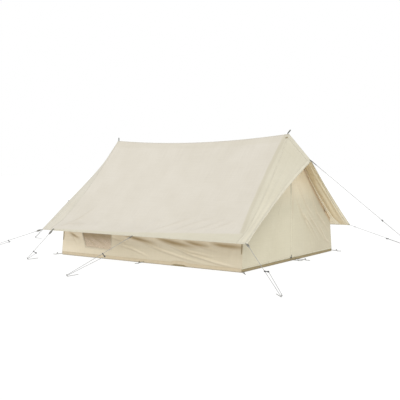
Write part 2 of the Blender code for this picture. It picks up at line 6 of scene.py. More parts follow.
from math import atan2, copysign, cos, exp, hypot, pi, radians, sin, tau

import bmesh
import bpy
from mathutils import Matrix, Vector, noise


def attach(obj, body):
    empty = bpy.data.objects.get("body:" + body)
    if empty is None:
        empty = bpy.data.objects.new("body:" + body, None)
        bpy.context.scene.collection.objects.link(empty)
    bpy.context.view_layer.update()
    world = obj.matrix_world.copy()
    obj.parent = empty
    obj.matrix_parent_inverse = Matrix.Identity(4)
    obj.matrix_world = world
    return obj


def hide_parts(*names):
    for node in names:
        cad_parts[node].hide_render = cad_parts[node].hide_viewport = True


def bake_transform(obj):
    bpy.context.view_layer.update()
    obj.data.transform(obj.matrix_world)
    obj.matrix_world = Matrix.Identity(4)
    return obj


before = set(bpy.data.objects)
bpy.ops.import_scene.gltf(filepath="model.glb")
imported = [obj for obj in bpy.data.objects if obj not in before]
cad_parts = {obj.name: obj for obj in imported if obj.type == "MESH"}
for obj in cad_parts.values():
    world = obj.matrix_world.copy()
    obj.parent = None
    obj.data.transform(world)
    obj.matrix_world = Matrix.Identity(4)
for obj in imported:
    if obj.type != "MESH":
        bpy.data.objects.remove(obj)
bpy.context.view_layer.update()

# Sizes that the model has too
HALF_LENGTH = 1.45
HALF_WIDTH = 1.10
RIM_HEIGHT = 0.035
WALL_LEAN = 0.05
CANVAS = 0.0015
GAP = 0.0003
WALL_TOP_GAP = 0.0006
RIDGE_HEIGHT = 1.55
RIDGE_HALF = 1.425
RIDGE_SAG = 0.065
ROOF_SAG = 0.065
WALL_TOP = 0.46
WALL_TOP_HALF = HALF_WIDTH - WALL_LEAN
EAVE_HALF = 1.28
EAVE_HEIGHT = 0.345
SEAM_EAVE_HALF = 1.50
BEAK_OUT = 1.73
BEAK_HEIGHT = 1.215
CORNER_OUT = 1.64
HOOD_CURVE = 0.03
HOOD_LIFT = 0.02
DOOR_TOP = 1.30
DOOR_HALF = 0.55
LEAF_TOP = 1.25
CHAIN_TOP = 1.125
WINDOW_LOW = 0.13
WINDOW_HIGH = 0.40
WINDOW_FOOT = (-1.005, -0.532)
WINDOW_HEAD = (-1.120, -0.562)
WINDOW_DIP = 0.014
FLAP_TOP = 0.415
FLAP_LOW = 0.110
FLAP_ENDS = (-1.140, -0.512)
FLAP_OUT = 1.0517
CLOTH_BOTTOM = RIM_HEIGHT + GAP
LEAF_FOOT = CLOTH_BOTTOM + GAP
ROOF_DROP = CANVAS * hypot(1, (RIDGE_HEIGHT - WALL_TOP) / WALL_TOP_HALF)

# Guys
ROPE_RADIUS = 0.0025
TAB_LENGTH = 0.075
TAB_WIDTH = 0.025
TAB_THICK = 0.004
TAB_SEWN = 0.03  # the length of a tab that is sewn on the hem
TAB_TWIST = radians(65)  # the tabs at the rear and side hang turned on edge
LOOP_RADIUS = 0.009
LOOP_HEIGHT = 0.016
ADJUSTER_PITCH = 0.020
ADJUSTER_THICK = 0.005
COLLAR_RADIUS = 0.0078
COLLAR_HALF = 0.0047
COLLAR_BORE = 0.0033
COLLAR_ROUND = 0.0014
PEG_RADIUS = 0.003
PEG_LENGTH = 0.17
PEG_POINT = 0.012
PEG_BEND = 0.006
PEG_HEIGHT = 0.026
PEG_CURL = 0.006
FOOT_PEG_LENGTH = 0.062
FOOT_LOOP_HALF = 0.008
FOOT_LOOP_RADIUS = 0.0028
FOOT_SEWN_HEIGHT = 0.014
FOOT_LOOP_HEIGHT = 0.008

# A guy's name, its hem point's place out and side, the way to its peg, its adjuster's place on the line and
# the degrees that the adjuster hangs from level. The beaks' guys have no side.
GUYS = (
    ("front_near", CORNER_OUT, -1, (0.86, -0.77), 0.52, 10),
    ("front_far", CORNER_OUT, 1, (0.66, 0.60), 0.39, 10),
    ("rear_near", -CORNER_OUT, -1, (-0.59, -1.01), 0.76, 25),
    ("rear_far", -CORNER_OUT, 1, (-0.59, 1.01), 0.76, 25),
    ("middle_near", 0, -1, (0, -1.04), 0.57, 55),
    ("middle_far", 0, 1, (0, 1.04), 0.57, 55),
    ("side_near", -1.43, -1, (-0.02, -0.40), 0.125, 45),
    ("side_far", -1.43, 1, (-0.02, 0.40), 0.125, 45),
    ("front_beak", BEAK_OUT, 0, (1.57, 0), 0.87, 20),
    ("rear_beak", -BEAK_OUT, 0, (-1.72, 0.10), 1.12, 20),
)

# A foot loop's name, the place that it is sewn to the wall's foot and the place of its peg
FOOT_LOOPS = (
    ("front_near", (1.451, -1.098), (1.515, -1.152)),
    ("front_far", (1.451, 1.098), (1.515, 1.120)),
    ("rear_near", (-1.451, -1.098), (-1.520, -1.125)),
    ("rear_far", (-1.451, 1.098), (-1.520, 1.125)),
    ("side_near", (0.02, -1.102), (0.0, -1.165)),
    ("side_far", (0.02, 1.102), (0.0, 1.165)),
    ("door_near", (1.452, -0.02), (1.520, 0.034)),
    ("door_far", (1.452, 0.10), (1.575, 0.125)),
    ("rear_middle", (-1.452, 0.0), (-1.530, 0.0)),
)

# Hems, seams and tapes: their widths, and how far in from the cloth's edge the narrow hems' middles run
HOOD_HEM = 0.036
SEAM_WIDTH = 0.016
EAVE_HEM = 0.024
EAVE_HEM_IN = 0.011
WALL_HEM = 0.040
END_HEM = 0.018
END_HEM_IN = 0.010
TAPE_WIDTH = 0.018
PLAIN_HALF = 0.014  # past the edge of a window's tape, so that no stitches show on it
ZIP_TAPE_WIDTH = 0.015
ZIP_TAPE_OUT = 0.0106
HOOD_TAPE_HALF = 0.038
RIDGE_TAPE_HALF = 0.065
END_SEAM_HALF = 0.027
INNER_LIFT = -CANVAS - 0.0006
INNER_THICK = 0.0008
BINDING_WIDTH = 0.014
HEM_REACH = 1.09  # how far across the end walls' foot hems run

# Where the walls' seams show in the roof: the end wall's at the ridge and at the wall, with its bow, and
# the side wall's in the middle, with how much it slants to the front and to the rear
END_SEAM_OUT = (1.385, 1.436)
END_SEAM_BOW = 0.232
SIDE_SEAM_ACROSS = 1.209
SIDE_SEAM_SLANT = (0.067, 0.030)

# Small sewn pieces: a strap under each corner of the eave, a bartack on each side of the ridge, and the
# guard behind the zip and the tab at its foot
STRAP_OUT = 1.436
STRAP_WIDTH = 0.012
STRAP_ENDS = (0.20, 0.375)
BARTACK_OUT = 1.414
BARTACK_ACROSS = 0.036
BARTACK_LENGTH = 0.030
BARTACK_WIDTH = 0.012
GUARD_MIDDLE = -0.0036
GUARD_WIDTH = 0.0168
GUARD_LIFT = -0.0046
FOOT_TAB_ENDS = (-0.034, -0.005)
FOOT_TAB_TOP = 0.052
LEAF_EDGES = {"near": 0.0033, "far": 0.0051}  # how far the leaves' edges stand off the zip's middle

# The bare ends of the two spikes, from where they come out of the ridge
SPIKE_CAPS = (
    ("front", (1.4105, 0, 1.557), (1.4475, 0, 1.5955)),
    ("rear", (-1.409, 0, 1.552), (-1.409, 0, 1.5925)),
)
CAP_RADIUS = 0.0076

SIDES = (("near", -1), ("far", 1))
UP = Vector((0, 0, 1))
STEP = 0.002  # the distance over which a cloth's slope is measured


# Camera, stage and light

LENS = 61.48
CAMERA_AT = (5.5596, -7.3072, 1.1986)
CAMERA_TURN = radians(36.957)
CAMERA_DOWN = radians(3.0271)
CAMERA_ROLL = radians(-0.7128)
KEY_FROM = (0.50, -0.68, 0.52)
KEY_STRENGTH = 1.35
KEY_SPREAD = radians(28)
FLOOR_GLOW = 0.885


def add_camera():
    tilted = Matrix.Rotation(CAMERA_TURN, 4, "Z") @ Matrix.Rotation(pi / 2 - CAMERA_DOWN, 4, "X")
    camera = bpy.data.objects.new("camera", bpy.data.cameras.new("camera"))
    camera.matrix_world = Matrix.Translation(CAMERA_AT) @ tilted @ Matrix.Rotation(CAMERA_ROLL, 4, "Z")
    camera.data.lens = LENS
    camera.data.sensor_width = 36
    bpy.context.scene.collection.objects.link(camera)
    bpy.context.scene.camera = camera


def add_key_light():
    lamp = bpy.data.lights.new("key", "SUN")
    lamp.energy = KEY_STRENGTH
    lamp.angle = KEY_SPREAD
    light = bpy.data.objects.new("key", lamp)
    light.matrix_world = Vector(KEY_FROM).to_track_quat("Z", "Y").to_matrix().to_4x4()
    bpy.context.scene.collection.objects.link(light)


def add_stage():
    """A white floor and backdrop under an even white sky, with one broad soft light over the camera."""
    scene = bpy.context.scene
    scene.view_settings.view_transform = "Standard"
    world = bpy.data.worlds.new("studio")
    scene.world = world
    world.use_nodes = True
    sky = world.node_tree.nodes["Background"]
    sky.inputs["Color"].default_value = (1, 1, 1, 1)
    sky.inputs["Strength"].default_value = 1.0
    add_key_light()
    bm = bmesh.new()
    bmesh.ops.create_grid(bm, x_segments=1, y_segments=1, size=60)
    mesh = bpy.data.meshes.new("floor")
    bm.to_mesh(mesh)
    bm.free()
    floor = bpy.data.objects.new("floor", mesh)
    scene.collection.objects.link(floor)
    paint = Finish("floor_white", (0.10, 0.10, 0.10), 0.9)
    paint.set(Emission_Color=(1, 1, 1, 1), Emission_Strength=FLOOR_GLOW)
    mesh.materials.append(paint.material)


# Materials

class Finish:
    """A Principled material, with helpers that add and join its nodes. Its patterns lie on one of the
    coordinates: UV in metres on cloth and cords, Object on solid parts."""

    def __init__(self, name, colour, roughness, metallic=0.0, place="UV"):
        self.material = bpy.data.materials.new(name)
        self.material.use_nodes = True
        self.tree = self.material.node_tree
        self.shader = self.tree.nodes["Principled BSDF"]
        self.set(Base_Color=(*colour, 1), Roughness=roughness, Metallic=metallic)
        self.place = self.add("TexCoord").outputs[place]

    def set(self, **values):
        for key, value in values.items():
            self.feed(self.shader.inputs[key.replace("_", " ")], value)

    def add(self, kind, settings=None, **inputs):
        node = self.tree.nodes.new("ShaderNode" + kind)
        for key, value in (settings or {}).items():
            setattr(node, key, value)
        for key, value in inputs.items():
            self.feed(node.inputs[key.replace("_", " ")], value)
        return node

    def feed(self, socket, value):
        if isinstance(value, bpy.types.NodeSocket):
            self.tree.links.new(value, socket)
        else:
            socket.default_value = value

    def maths(self, operation, *values):
        node = self.add("Math", {"operation": operation})
        for socket, value in zip(node.inputs, values):
            self.feed(socket, value)
        return node.outputs[0]

    def blend(self, share, first, second, kind="MIX"):
        node = self.add("Mix", {"data_type": "RGBA", "blend_type": kind}, Factor=share)
        for socket, value in zip((node.inputs[6], node.inputs[7]), (first, second)):
            self.feed(socket, value if isinstance(value, bpy.types.NodeSocket) else (*value, 1))
        return node.outputs[2]

    def spread(self, value, low, high, out_low, out_high):
        limits = {"From_Min": low, "From_Max": high, "To_Min": out_low, "To_Max": out_high}
        return self.add("MapRange", Value=value, **limits).outputs[0]

    def tint(self, tone, other, value, low, high, out_low, out_high, kind="MIX"):
        """The tone with the other colour over it, by a value that is spread between two shares."""
        return self.blend(self.spread(value, low, high, out_low, out_high), tone, other, kind)

    def share(self, attribute):
        return self.add("Attribute", {"attribute_name": attribute}).outputs["Fac"]

    def marked(self, tone, marks):
        """The tone with each mark's colour over it, as much as the attribute of that name says."""
        for attribute, shade in marks:
            tone = self.blend(self.share(attribute), tone, shade)
        return tone

    def noise(self, scale, detail=3.0, roughness=0.5):
        node = self.add("TexNoise", Vector=self.place, Scale=scale, Detail=detail, Roughness=roughness)
        return node.outputs[0]

    def streaks(self, stretch, detail=3.0, roughness=0.5):
        place = self.add("Mapping", Vector=self.place, Scale=stretch).outputs[0]
        return self.add("TexNoise", Vector=place, Scale=1.0, Detail=detail, Roughness=roughness).outputs[0]

    def lines(self, pitch, direction="X", distortion=0.0, place=None):
        """Even lines at a pitch in metres, across X, Y or Z."""
        settings = {"bands_direction": direction}
        scale = tau / 20 / pitch
        node = self.add("TexWave", settings, Vector=place or self.place, Scale=scale, Distortion=distortion)
        return node.outputs[1]

    def weave(self, pitch):
        """The height of a plain weave: threads up and across, each over and under the other."""
        return self.maths("MAXIMUM", self.lines(pitch, "X", 0.4), self.lines(pitch, "Y", 0.4))

    def bump(self, height, strength, distance, under=None):
        node = self.add("Bump", Height=height, Strength=strength, Distance=distance)
        if under is not None:
            self.feed(node.inputs["Normal"], under)
        return node.outputs[0]

    def finish(self, tone, normal, value, out_low, out_high, low=0.3, high=0.7):
        """The material, with its roughness spread by a value."""
        self.set(Base_Color=tone, Roughness=self.spread(value, low, high, out_low, out_high), Normal=normal)
        return self.material


def dim(colour, share):
    return [channel * share for channel in colour]


def dusty(colour, share, dust):
    return [min(1, channel * share + dust) for channel in colour]


def make_canvas(name, colour, marks=(), glow=0.0):
    """Cotton canvas: slubs along both threads and cloudy wear. The glow is the strength of the light that
    comes through from behind where it is marked as lit."""
    paint = Finish(name, colour, 0.88)
    paint.set(Sheen_Weight=0.12, Sheen_Roughness=0.6)
    tone = paint.marked(colour, marks)
    if glow:
        strength = paint.maths("MULTIPLY", paint.share("lit"), glow)
        paint.set(Emission_Color=(*GLOW, 1), Emission_Strength=strength)
    clouds = paint.noise(2.2, 4.0, 0.55)
    tone = paint.tint(tone, (0.90, 0.89, 0.86), clouds, 0.35, 0.7, 0, 0.5, "MULTIPLY")
    slubs = paint.maths("ADD", paint.streaks((3, 90, 1)), paint.streaks((90, 3, 1)))
    tone = paint.tint(tone, (0.86, 0.85, 0.82), slubs, 0.8, 1.2, 0, 0.3, "MULTIPLY")
    normal = paint.bump(paint.weave(0.0016), 0.35, 0.0003, paint.bump(slubs, 0.25, 0.0012))
    return paint.finish(tone, normal, clouds, 0.82, 0.94)


def make_hem(name, colour, half):
    """Folded canvas with a row of stitches near each edge. V is the distance from the strip's middle."""
    paint = Finish(name, colour, 0.88)
    paint.set(Sheen_Weight=0.1)
    parts = paint.add("SeparateXYZ", Vector=paint.place)
    row = paint.maths("COMPARE", paint.maths("ABSOLUTE", parts.outputs[1]), half - 0.0025, 0.0005)
    steps = paint.maths("DIVIDE", parts.outputs[0], 0.004)
    dash = paint.maths("LESS_THAN", paint.maths("FRACT", steps), 0.68)
    stitch = paint.maths("MULTIPLY", row, dash)
    clouds = paint.noise(14.0, 4.0)
    tone = paint.tint(colour, dim(colour, 0.84), clouds, 0.35, 0.7, 0, 0.6)
    tone = paint.blend(stitch, tone, THREAD)
    height = paint.maths("MULTIPLY_ADD", stitch, 0.8, paint.weave(0.0016))
    normal = paint.bump(height, 0.4, 0.0004, paint.bump(paint.streaks((120, 20, 1), 2.0), 0.5, 0.002))
    return paint.finish(tone, normal, clouds, 0.8, 0.95)


def make_coated(name, colour):
    """Coated brown groundsheet cloth, with a faint sheen and dusty scuffs."""
    paint = Finish(name, colour, 0.6, place="Object")
    scuffs = paint.noise(9.0, 6.0, 0.65)
    tone = paint.tint(colour, dusty(colour, 1.5, 0.03), scuffs, 0.45, 0.75, 0, 0.5)
    return paint.finish(tone, paint.bump(paint.noise(26.0, 4.0), 0.35, 0.003), scuffs, 0.45, 0.7)


def make_net(name, colour, marks):
    """Fine insect net, drawn as its threads over the dark behind them. The marks are as a canvas's are."""
    paint = Finish(name, colour, 0.85)
    threads = paint.weave(0.0022)
    clouds = paint.noise(12.0, 4.0)
    tone = paint.tint(dim(colour, 0.45), colour, threads, 0.55, 0.95, 0, 1)
    tone = paint.tint(tone, dim(colour, 0.7), clouds, 0.35, 0.7, 0, 0.5)
    return paint.finish(paint.marked(tone, marks), paint.bump(threads, 0.6, 0.0006), clouds, 0.78, 0.92)


def make_cord(name, colour):
    """Braided line: strands that wind both ways round it."""
    paint = Finish(name, colour, 0.8)
    strands = []
    for lean in (38, -38):
        turn = (0, 0, radians(lean))
        way = paint.add("Mapping", Vector=paint.place, Scale=(1, 0.0126, 1), Rotation=turn).outputs[0]
        strands.append(paint.lines(0.0022, place=way))
    braid = paint.maths("MULTIPLY", *strands)
    dirt = paint.streaks((30, 1, 1))
    # Painted shade: darker in the grooves between the strands
    tone = paint.tint(colour, dim(colour, 0.6), braid, 0.0, 0.6, 0.55, 0)
    tone = paint.tint(tone, dim(colour, 0.7), dirt, 0.4, 0.7, 0, 0.35)
    return paint.finish(tone, paint.bump(braid, 0.7, 0.0005), dirt, 0.72, 0.88)


def make_webbing(name, colour):
    """Woven webbing: ribs along it, picks across and a little fluff."""
    paint = Finish(name, colour, 0.8)
    height = paint.maths("MULTIPLY_ADD", paint.lines(0.0016, "X"), 0.5, paint.lines(0.0022, "Y"))
    fluff = paint.noise(60.0, 4.0)
    # Painted shade: darker in the grooves between the ribs and picks
    tone = paint.tint(colour, dim(colour, 0.5), height, 0.2, 1.3, 0.5, 0)
    tone = paint.tint(tone, dusty(colour, 1.6, 0.02), fluff, 0.45, 0.75, 0, 0.4)
    return paint.finish(tone, paint.bump(height, 0.6, 0.0005), fluff, 0.72, 0.9)


def make_moulded(name, colour, roughness=0.5):
    """Moulded plastic or rubber, with a fine spark texture and rubbed high spots."""
    paint = Finish(name, colour, roughness, place="Object")
    rubs = paint.noise(60.0, 5.0, 0.6)
    tone = paint.tint(colour, dusty(colour, 1.5, 0.02), rubs, 0.5, 0.8, 0, 0.5)
    grain = paint.bump(paint.noise(900.0), 0.25, 0.0002)
    return paint.finish(tone, grain, rubs, roughness + 0.12, roughness - 0.1, 0.3, 0.75)


def make_zinc(name, colour, roughness=0.35):
    """Zinc-plated steel: cloudy spangle, fine draw marks and dull patches."""
    paint = Finish(name, colour, roughness, 1.0, "Object")
    clouds = paint.noise(40.0, 5.0, 0.6)
    marks = paint.streaks((600, 600, 12), 2.0)
    tone = paint.tint(colour, dim(colour, 0.72), clouds, 0.35, 0.7, 0, 1)
    dull = paint.maths("ADD", clouds, marks)
    drawn = paint.bump(marks, 0.12, 0.0002)
    return paint.finish(tone, drawn, dull, roughness - 0.08, roughness + 0.2, 0.7, 1.3)


def make_zip_teeth(name, colour):
    """A nylon coil zip: the turns of its coil across it."""
    paint = Finish(name, colour, 0.45, place="Object")
    turns = paint.lines(0.0016, "Z")
    # Painted shade: darker between the coil's turns
    tone = paint.tint(colour, dim(colour, 0.85), turns, 0.0, 0.6, 0.3, 0)
    return paint.finish(tone, paint.bump(turns, 0.35, 0.0004), turns, 0.6, 0.4, 0, 1)


def make_wood(name, colour):
    """Dark wood with fine streaks of grain."""
    paint = Finish(name, colour, 0.45, place="Object")
    grain = paint.streaks((700, 160, 160), 5.0, 0.6)
    tone = paint.tint(colour, dim(colour, 0.45), grain, 0.3, 0.7, 0, 1)
    return paint.finish(tone, paint.bump(grain, 0.3, 0.0004), grain, 0.38, 0.6)


ROOF_CREAM = (0.555, 0.52, 0.452)
HOOD_CREAM = (0.535, 0.503, 0.402)
# Painted shade where a seam or tape doubles the roof's cloth
LINING_CREAM = (0.49, 0.455, 0.36)
REAR_CREAM = (0.54, 0.51, 0.435)
WALL_CREAM = (0.525, 0.465, 0.345)
WALL_LIT = (0.72, 0.64, 0.50)
END_CREAM = (0.56, 0.52, 0.387)
END_LIT = (0.74, 0.66, 0.49)
# Painted shade: the end wall's far half is darker
END_AWAY = (0.485, 0.44, 0.32)
# Painted shade on the end wall, close under the roof
WARM_TAN = (0.42, 0.29, 0.15)
# Painted shade in the hollows under the side walls' eave
HOLLOW_TAN = (0.33, 0.24, 0.12)
# The underside of the roof and hoods, painted bright for the light that comes through the canvas
INNER_TAN = (0.83, 0.75, 0.56)
# Painted shade deep under the hoods, also used for the lining's random streaks
INNER_GOLD = (0.53, 0.41, 0.22)
# Painted highlight over each sharp crease of the cloth, and painted shade under it
SOIL_TAN = (0.36, 0.29, 0.18)
CREST_CREAM = (0.78, 0.71, 0.56)
NET_BROWN = (0.66, 0.54, 0.40)
# Painted shade on the net: under its creases and along its top under the eave
NET_DARK = (0.36, 0.28, 0.17)
GLOW = (1.0, 0.84, 0.62)
THREAD = (0.42, 0.37, 0.28)
SPIKE_GREY = (0.13, 0.14, 0.12)

ROOF_MARKS = (("outside", HOOD_CREAM), ("doubled", LINING_CREAM), ("soiled", SOIL_TAN))
WALL_MARKS = (("lit", WALL_LIT), ("crest", CREST_CREAM), ("soiled", SOIL_TAN), ("hollow", HOLLOW_TAN))
END_MARKS = (
    ("away", END_AWAY), ("lit", END_LIT), ("crest", CREST_CREAM), ("soiled", SOIL_TAN), ("shaded", WARM_TAN),
)
CANVAS_ROOF = make_canvas("canvas_roof", ROOF_CREAM, ROOF_MARKS)
CANVAS_HOOD = make_canvas("canvas_hood", dim(HOOD_CREAM, 1.07), (("high", dim(HOOD_CREAM, 0.95)),))
CANVAS_REAR_HOOD = make_canvas("canvas_rear_hood", REAR_CREAM)
CANVAS_LINING = make_canvas("canvas_lining", INNER_TAN, (("inner", INNER_GOLD), ("streak", INNER_GOLD)))
CANVAS_WALL = make_canvas("canvas_wall", WALL_CREAM, WALL_MARKS, 0.05)
CANVAS_BLIND = make_canvas("canvas_blind", WALL_CREAM)
CANVAS_END = make_canvas("canvas_end", END_CREAM, END_MARKS, 0.09)
CANVAS_REAR = make_canvas("canvas_rear", END_CREAM)
EAVE_STRIP = make_hem("canvas_hem", dim(HOOD_CREAM, 1.02), EAVE_HEM / 2)
HOOD_STRIP = make_hem("canvas_hood_hem", dim(HOOD_CREAM, 1.03), HOOD_HEM / 2)
SEAM_STRIP = make_hem("canvas_seam", dim(HOOD_CREAM, 0.97), SEAM_WIDTH / 2)
REAR_STRIP = make_hem("canvas_rear_seam", REAR_CREAM, SEAM_WIDTH / 2)
INNER_STRIP = make_hem("canvas_inner_hem", dim(INNER_TAN, 0.95), HOOD_HEM / 2)
FOOT_STRIP = make_hem("canvas_foot_hem", (0.50, 0.42, 0.29), WALL_HEM / 2)
WINDOW_STRIP = make_hem("canvas_wall_hem", dim(WALL_CREAM, 0.97), PLAIN_HALF)
END_STRIP = make_hem("canvas_end_hem", dim(END_CREAM, 0.97), END_HEM / 2)
STRAP = make_webbing("strap_webbing", (0.30, 0.24, 0.14))
WEBBING = make_webbing("tab_webbing", (0.17, 0.165, 0.145))
CORD = make_cord("guy_cord", (0.36, 0.36, 0.35))
NET = make_net("insect_net", NET_BROWN, (("soiled", NET_DARK), ("hollow", NET_DARK)))
COATED = make_coated("coated_brown", (0.24, 0.185, 0.085))
ZIP_TEETH = make_zip_teeth("zip_teeth", dusty(END_CREAM, 1.35, 0))
PLASTIC = make_moulded("black_plastic", (0.035, 0.036, 0.038))
RUBBER = make_moulded("black_rubber", (0.02, 0.02, 0.02), 0.75)
CAP_RUBBER = make_moulded("cap_rubber", SPIKE_GREY, 0.6)
ZINC = make_zinc("zinc_plate", (0.42, 0.42, 0.40))
DULL_STEEL = make_zinc("dull_steel", SPIKE_GREY, 0.5)
WOOD = make_wood("dark_wood", (0.28, 0.19, 0.11))


# Shape of the cloth

def mix(a, b, share):
    return a + (b - a) * share


def clamp(value, low=0.0, high=1.0):
    return max(low, min(high, value))


def ease(value, low, high):
    """0 below low, 1 above high, and smooth between."""
    share = clamp((value - low) / (high - low))
    return share * share * (3 - 2 * share)


def roof_height(x, y):
    across = abs(y)
    ridge = RIDGE_HEIGHT - RIDGE_SAG * (1 - min(1, abs(x) / RIDGE_HALF) ** 2)
    if across <= WALL_TOP_HALF:
        share = across / WALL_TOP_HALF
        return mix(ridge, WALL_TOP, share) - 4 * ROOF_SAG * share * (1 - share)
    return mix(WALL_TOP, EAVE_HEIGHT, (across - WALL_TOP_HALF) / (EAVE_HALF - WALL_TOP_HALF))


def seam_out(across):
    return mix(RIDGE_HALF, SEAM_EAVE_HALF, across / EAVE_HALF)


def hood_edge(across):
    share = across / EAVE_HALF
    curve = 4 * share * (1 - share)
    out = mix(BEAK_OUT, CORNER_OUT, share) - HOOD_CURVE * curve
    return out, mix(BEAK_HEIGHT, EAVE_HEIGHT, share) + HOOD_LIFT * curve


def hood_height(x, y):
    across = abs(y)
    start = seam_out(across)
    out, low = hood_edge(across)
    return mix(roof_height(start, across), low, (abs(x) - start) / (out - start))


def cover_height(x, y):
    return roof_height(x, y) if abs(x) <= seam_out(abs(y)) else hood_height(x, y)


def underside(x, y):
    return cover_height(x, y) - ROOF_DROP - WALL_TOP_GAP


def wall_face(z):
    return HALF_WIDTH - WALL_LEAN * (z - CLOTH_BOTTOM) / (WALL_TOP - CLOTH_BOTTOM)


def fold_across(z):
    return DOOR_HALF * (DOOR_TOP - z) / (DOOR_TOP - CLOTH_BOTTOM)


def crease(p, q, points, width, height):
    """A soft ridge along a line of points in the cloth, highest in the middle of the line."""
    reach = 3 * width
    first, last = points[0][0], points[-1][0]
    if not min(first, last) - reach < p < max(first, last) + reach:
        return 0.0
    nearest, along = reach, None
    count = len(points) - 1
    for k, ((p0, q0), (p1, q1)) in enumerate(zip(points, points[1:])):
        run, rise = p1 - p0, q1 - q0
        share = clamp(((p - p0) * run + (q - q0) * rise) / (run * run + rise * rise))
        away = hypot(p - p0 - run * share, q - q0 - rise * share)
        if away < nearest:
            nearest, along = away, (k + share) / count
    if along is None:
        return 0.0
    return height * sin(pi * along) * exp(-(nearest / width) ** 2)


def ridge_line(value, middle, width):
    """1 on a line across a value, and falling away softly on both sides of it."""
    return exp(-((value - middle) / width) ** 2)


def ripple(p, q, size, seed):
    return noise.noise(Vector((p / size, q / size, seed)))


class Cloth:
    """One side of the tent, as a surface over two of the three axes with folds along its outward normal."""

    def __init__(self, base, folds, outward, axes):
        self.base = base
        self.folds = folds
        self.outward = Vector(outward)
        self.axes = axes

    def normal(self, p, q):
        along = self.base(p + STEP, q) - self.base(p - STEP, q)
        upward = self.base(p, q + STEP) - self.base(p, q - STEP)
        way = along.cross(upward).normalized()
        return way if way.dot(self.outward) > 0 else -way

    def point(self, p, q, lift=0.0):
        return self.base(p, q) + self.normal(p, q) * (self.folds(p, q) + lift)


# Creases on the slopes, which run in from the corners and guys, as (points, width, height) in X and across
SLOPE_CREASES = (
    (((0.13, 1.20), (0.39, 1.04), (0.66, 0.90)), 0.018, 0.009),
    (((0.46, 1.17), (0.65, 1.03), (0.98, 0.89)), 0.016, 0.011),
    (((0.70, 1.15), (0.94, 1.03), (1.14, 0.91)), 0.016, 0.011),
    (((0.95, 1.12), (1.12, 1.02), (1.26, 0.93)), 0.014, 0.008),
    (((0.64, 0.78), (0.97, 0.66)), 0.026, 0.0035),
    (((-1.40, 1.18), (-1.20, 1.02), (-1.05, 0.80)), 0.022, 0.007),
    (((-0.04, 1.22), (-0.16, 1.02), (-0.34, 0.86)), 0.026, 0.006),
    (((0.02, 1.22), (0.10, 1.05), (0.26, 0.90)), 0.026, 0.006),
    (((-1.43, 1.22), (-1.26, 1.13), (-0.95, 1.10)), 0.020, 0.006),
)


def end_seam(across):
    """How far out the end wall's seam shows in the roof. It bows in between the ridge and the wall."""
    share = across / WALL_TOP_HALF
    return mix(*END_SEAM_OUT, share) - END_SEAM_BOW * share * (1 - share)


def side_seam(x):
    """How far across the slope the side wall's seam shows. It runs into the eave's hem towards the rear."""
    front, rear = SIDE_SEAM_SLANT
    return SIDE_SEAM_ACROSS - (front if x > 0 else rear) * x


def cover_folds(x, y):
    """Soft waves, with the slopes' creases and seams, or the hoods' waves between their seam and edge."""
    across = abs(y)
    out = abs(x)
    seam = seam_out(across)
    calm = ease(across, 0.0, 0.12) * ease(EAVE_HALF - across, 0.0, 0.05)
    height = 0.006 * ripple(x, across, 0.55, 3 + copysign(1, y)) + 0.0014 * ripple(x, across, 0.12, 9)
    height *= 0.25 + 0.75 * ease(abs(out - seam), 0.0, 0.1)
    if out <= seam:
        inside = ease(seam - out, 0.0, 0.03)
        front = ease(x, 0.0, 0.5) * inside
        height = sum((crease(x, across, *line) * inside for line in SLOPE_CREASES), height)
        height += 0.0022 * ridge_line(across, side_seam(x), 0.012) * inside
        height -= 0.0020 * ridge_line(out, end_seam(across), 0.030) * front
        height += 0.0022 * ridge_line(out, end_seam(across) + 0.055, 0.014) * front
    else:
        edge = hood_edge(across)[0]
        loose = ease(out - seam, 0.0, 0.04) * ease(edge - out, 0.0, 0.05)
        waves = sin(72 * (out - seam) + 3.0 * ripple(out, across, 0.5, 11) + 2.5 * across)
        height += 0.0040 * waves * loose * ease(across, 0.05, 0.3)
    return height * calm


def cover_base(x, y):
    return Vector((x, y, cover_height(x, y)))


COVER = Cloth(cover_base, cover_folds, UP, (0, 1))
SLOPE_STRETCH = 1.35  # about how much longer a slope is than its width seen from above

# Creases in the side wall, as (points, width, height) in X and Z: sharp ones, then broad ones
WALL_CREASES = (
    (((-0.52, 0.21), (-0.19, 0.16), (0.12, 0.07)), 0.012, 0.0085),
    (((-0.25, 0.31), (0.09, 0.22), (0.33, 0.16), (0.65, 0.10), (1.00, 0.05)), 0.012, 0.0115),
    (((0.18, 0.32), (0.52, 0.21), (0.74, 0.15), (0.97, 0.11), (1.34, 0.05)), 0.013, 0.0125),
    (((0.38, 0.25), (0.74, 0.18), (1.10, 0.14)), 0.012, 0.01),
    (((0.60, 0.18), (1.10, 0.08), (1.38, 0.05)), 0.012, 0.009),
    (((0.66, 0.31), (0.90, 0.25), (1.12, 0.21)), 0.014, 0.009),
    (((-1.38, 0.32), (-1.25, 0.25), (-1.16, 0.15)), 0.012, 0.005),
    (((-0.62, 0.30), (-0.40, 0.25), (-0.20, 0.20)), 0.014, 0.007),
    (((-0.10, 0.42), (0.35, 0.25), (0.70, 0.17)), 0.050, 0.014),
    (((0.38, 0.42), (0.75, 0.29), (1.10, 0.20)), 0.045, 0.014),
    (((-0.45, 0.40), (-0.10, 0.26), (0.25, 0.15)), 0.045, 0.012),
    (((0.80, 0.42), (1.02, 0.32), (1.25, 0.26)), 0.036, 0.012),
    (((1.42, 0.38), (1.33, 0.24), (1.26, 0.10)), 0.030, 0.007),
)

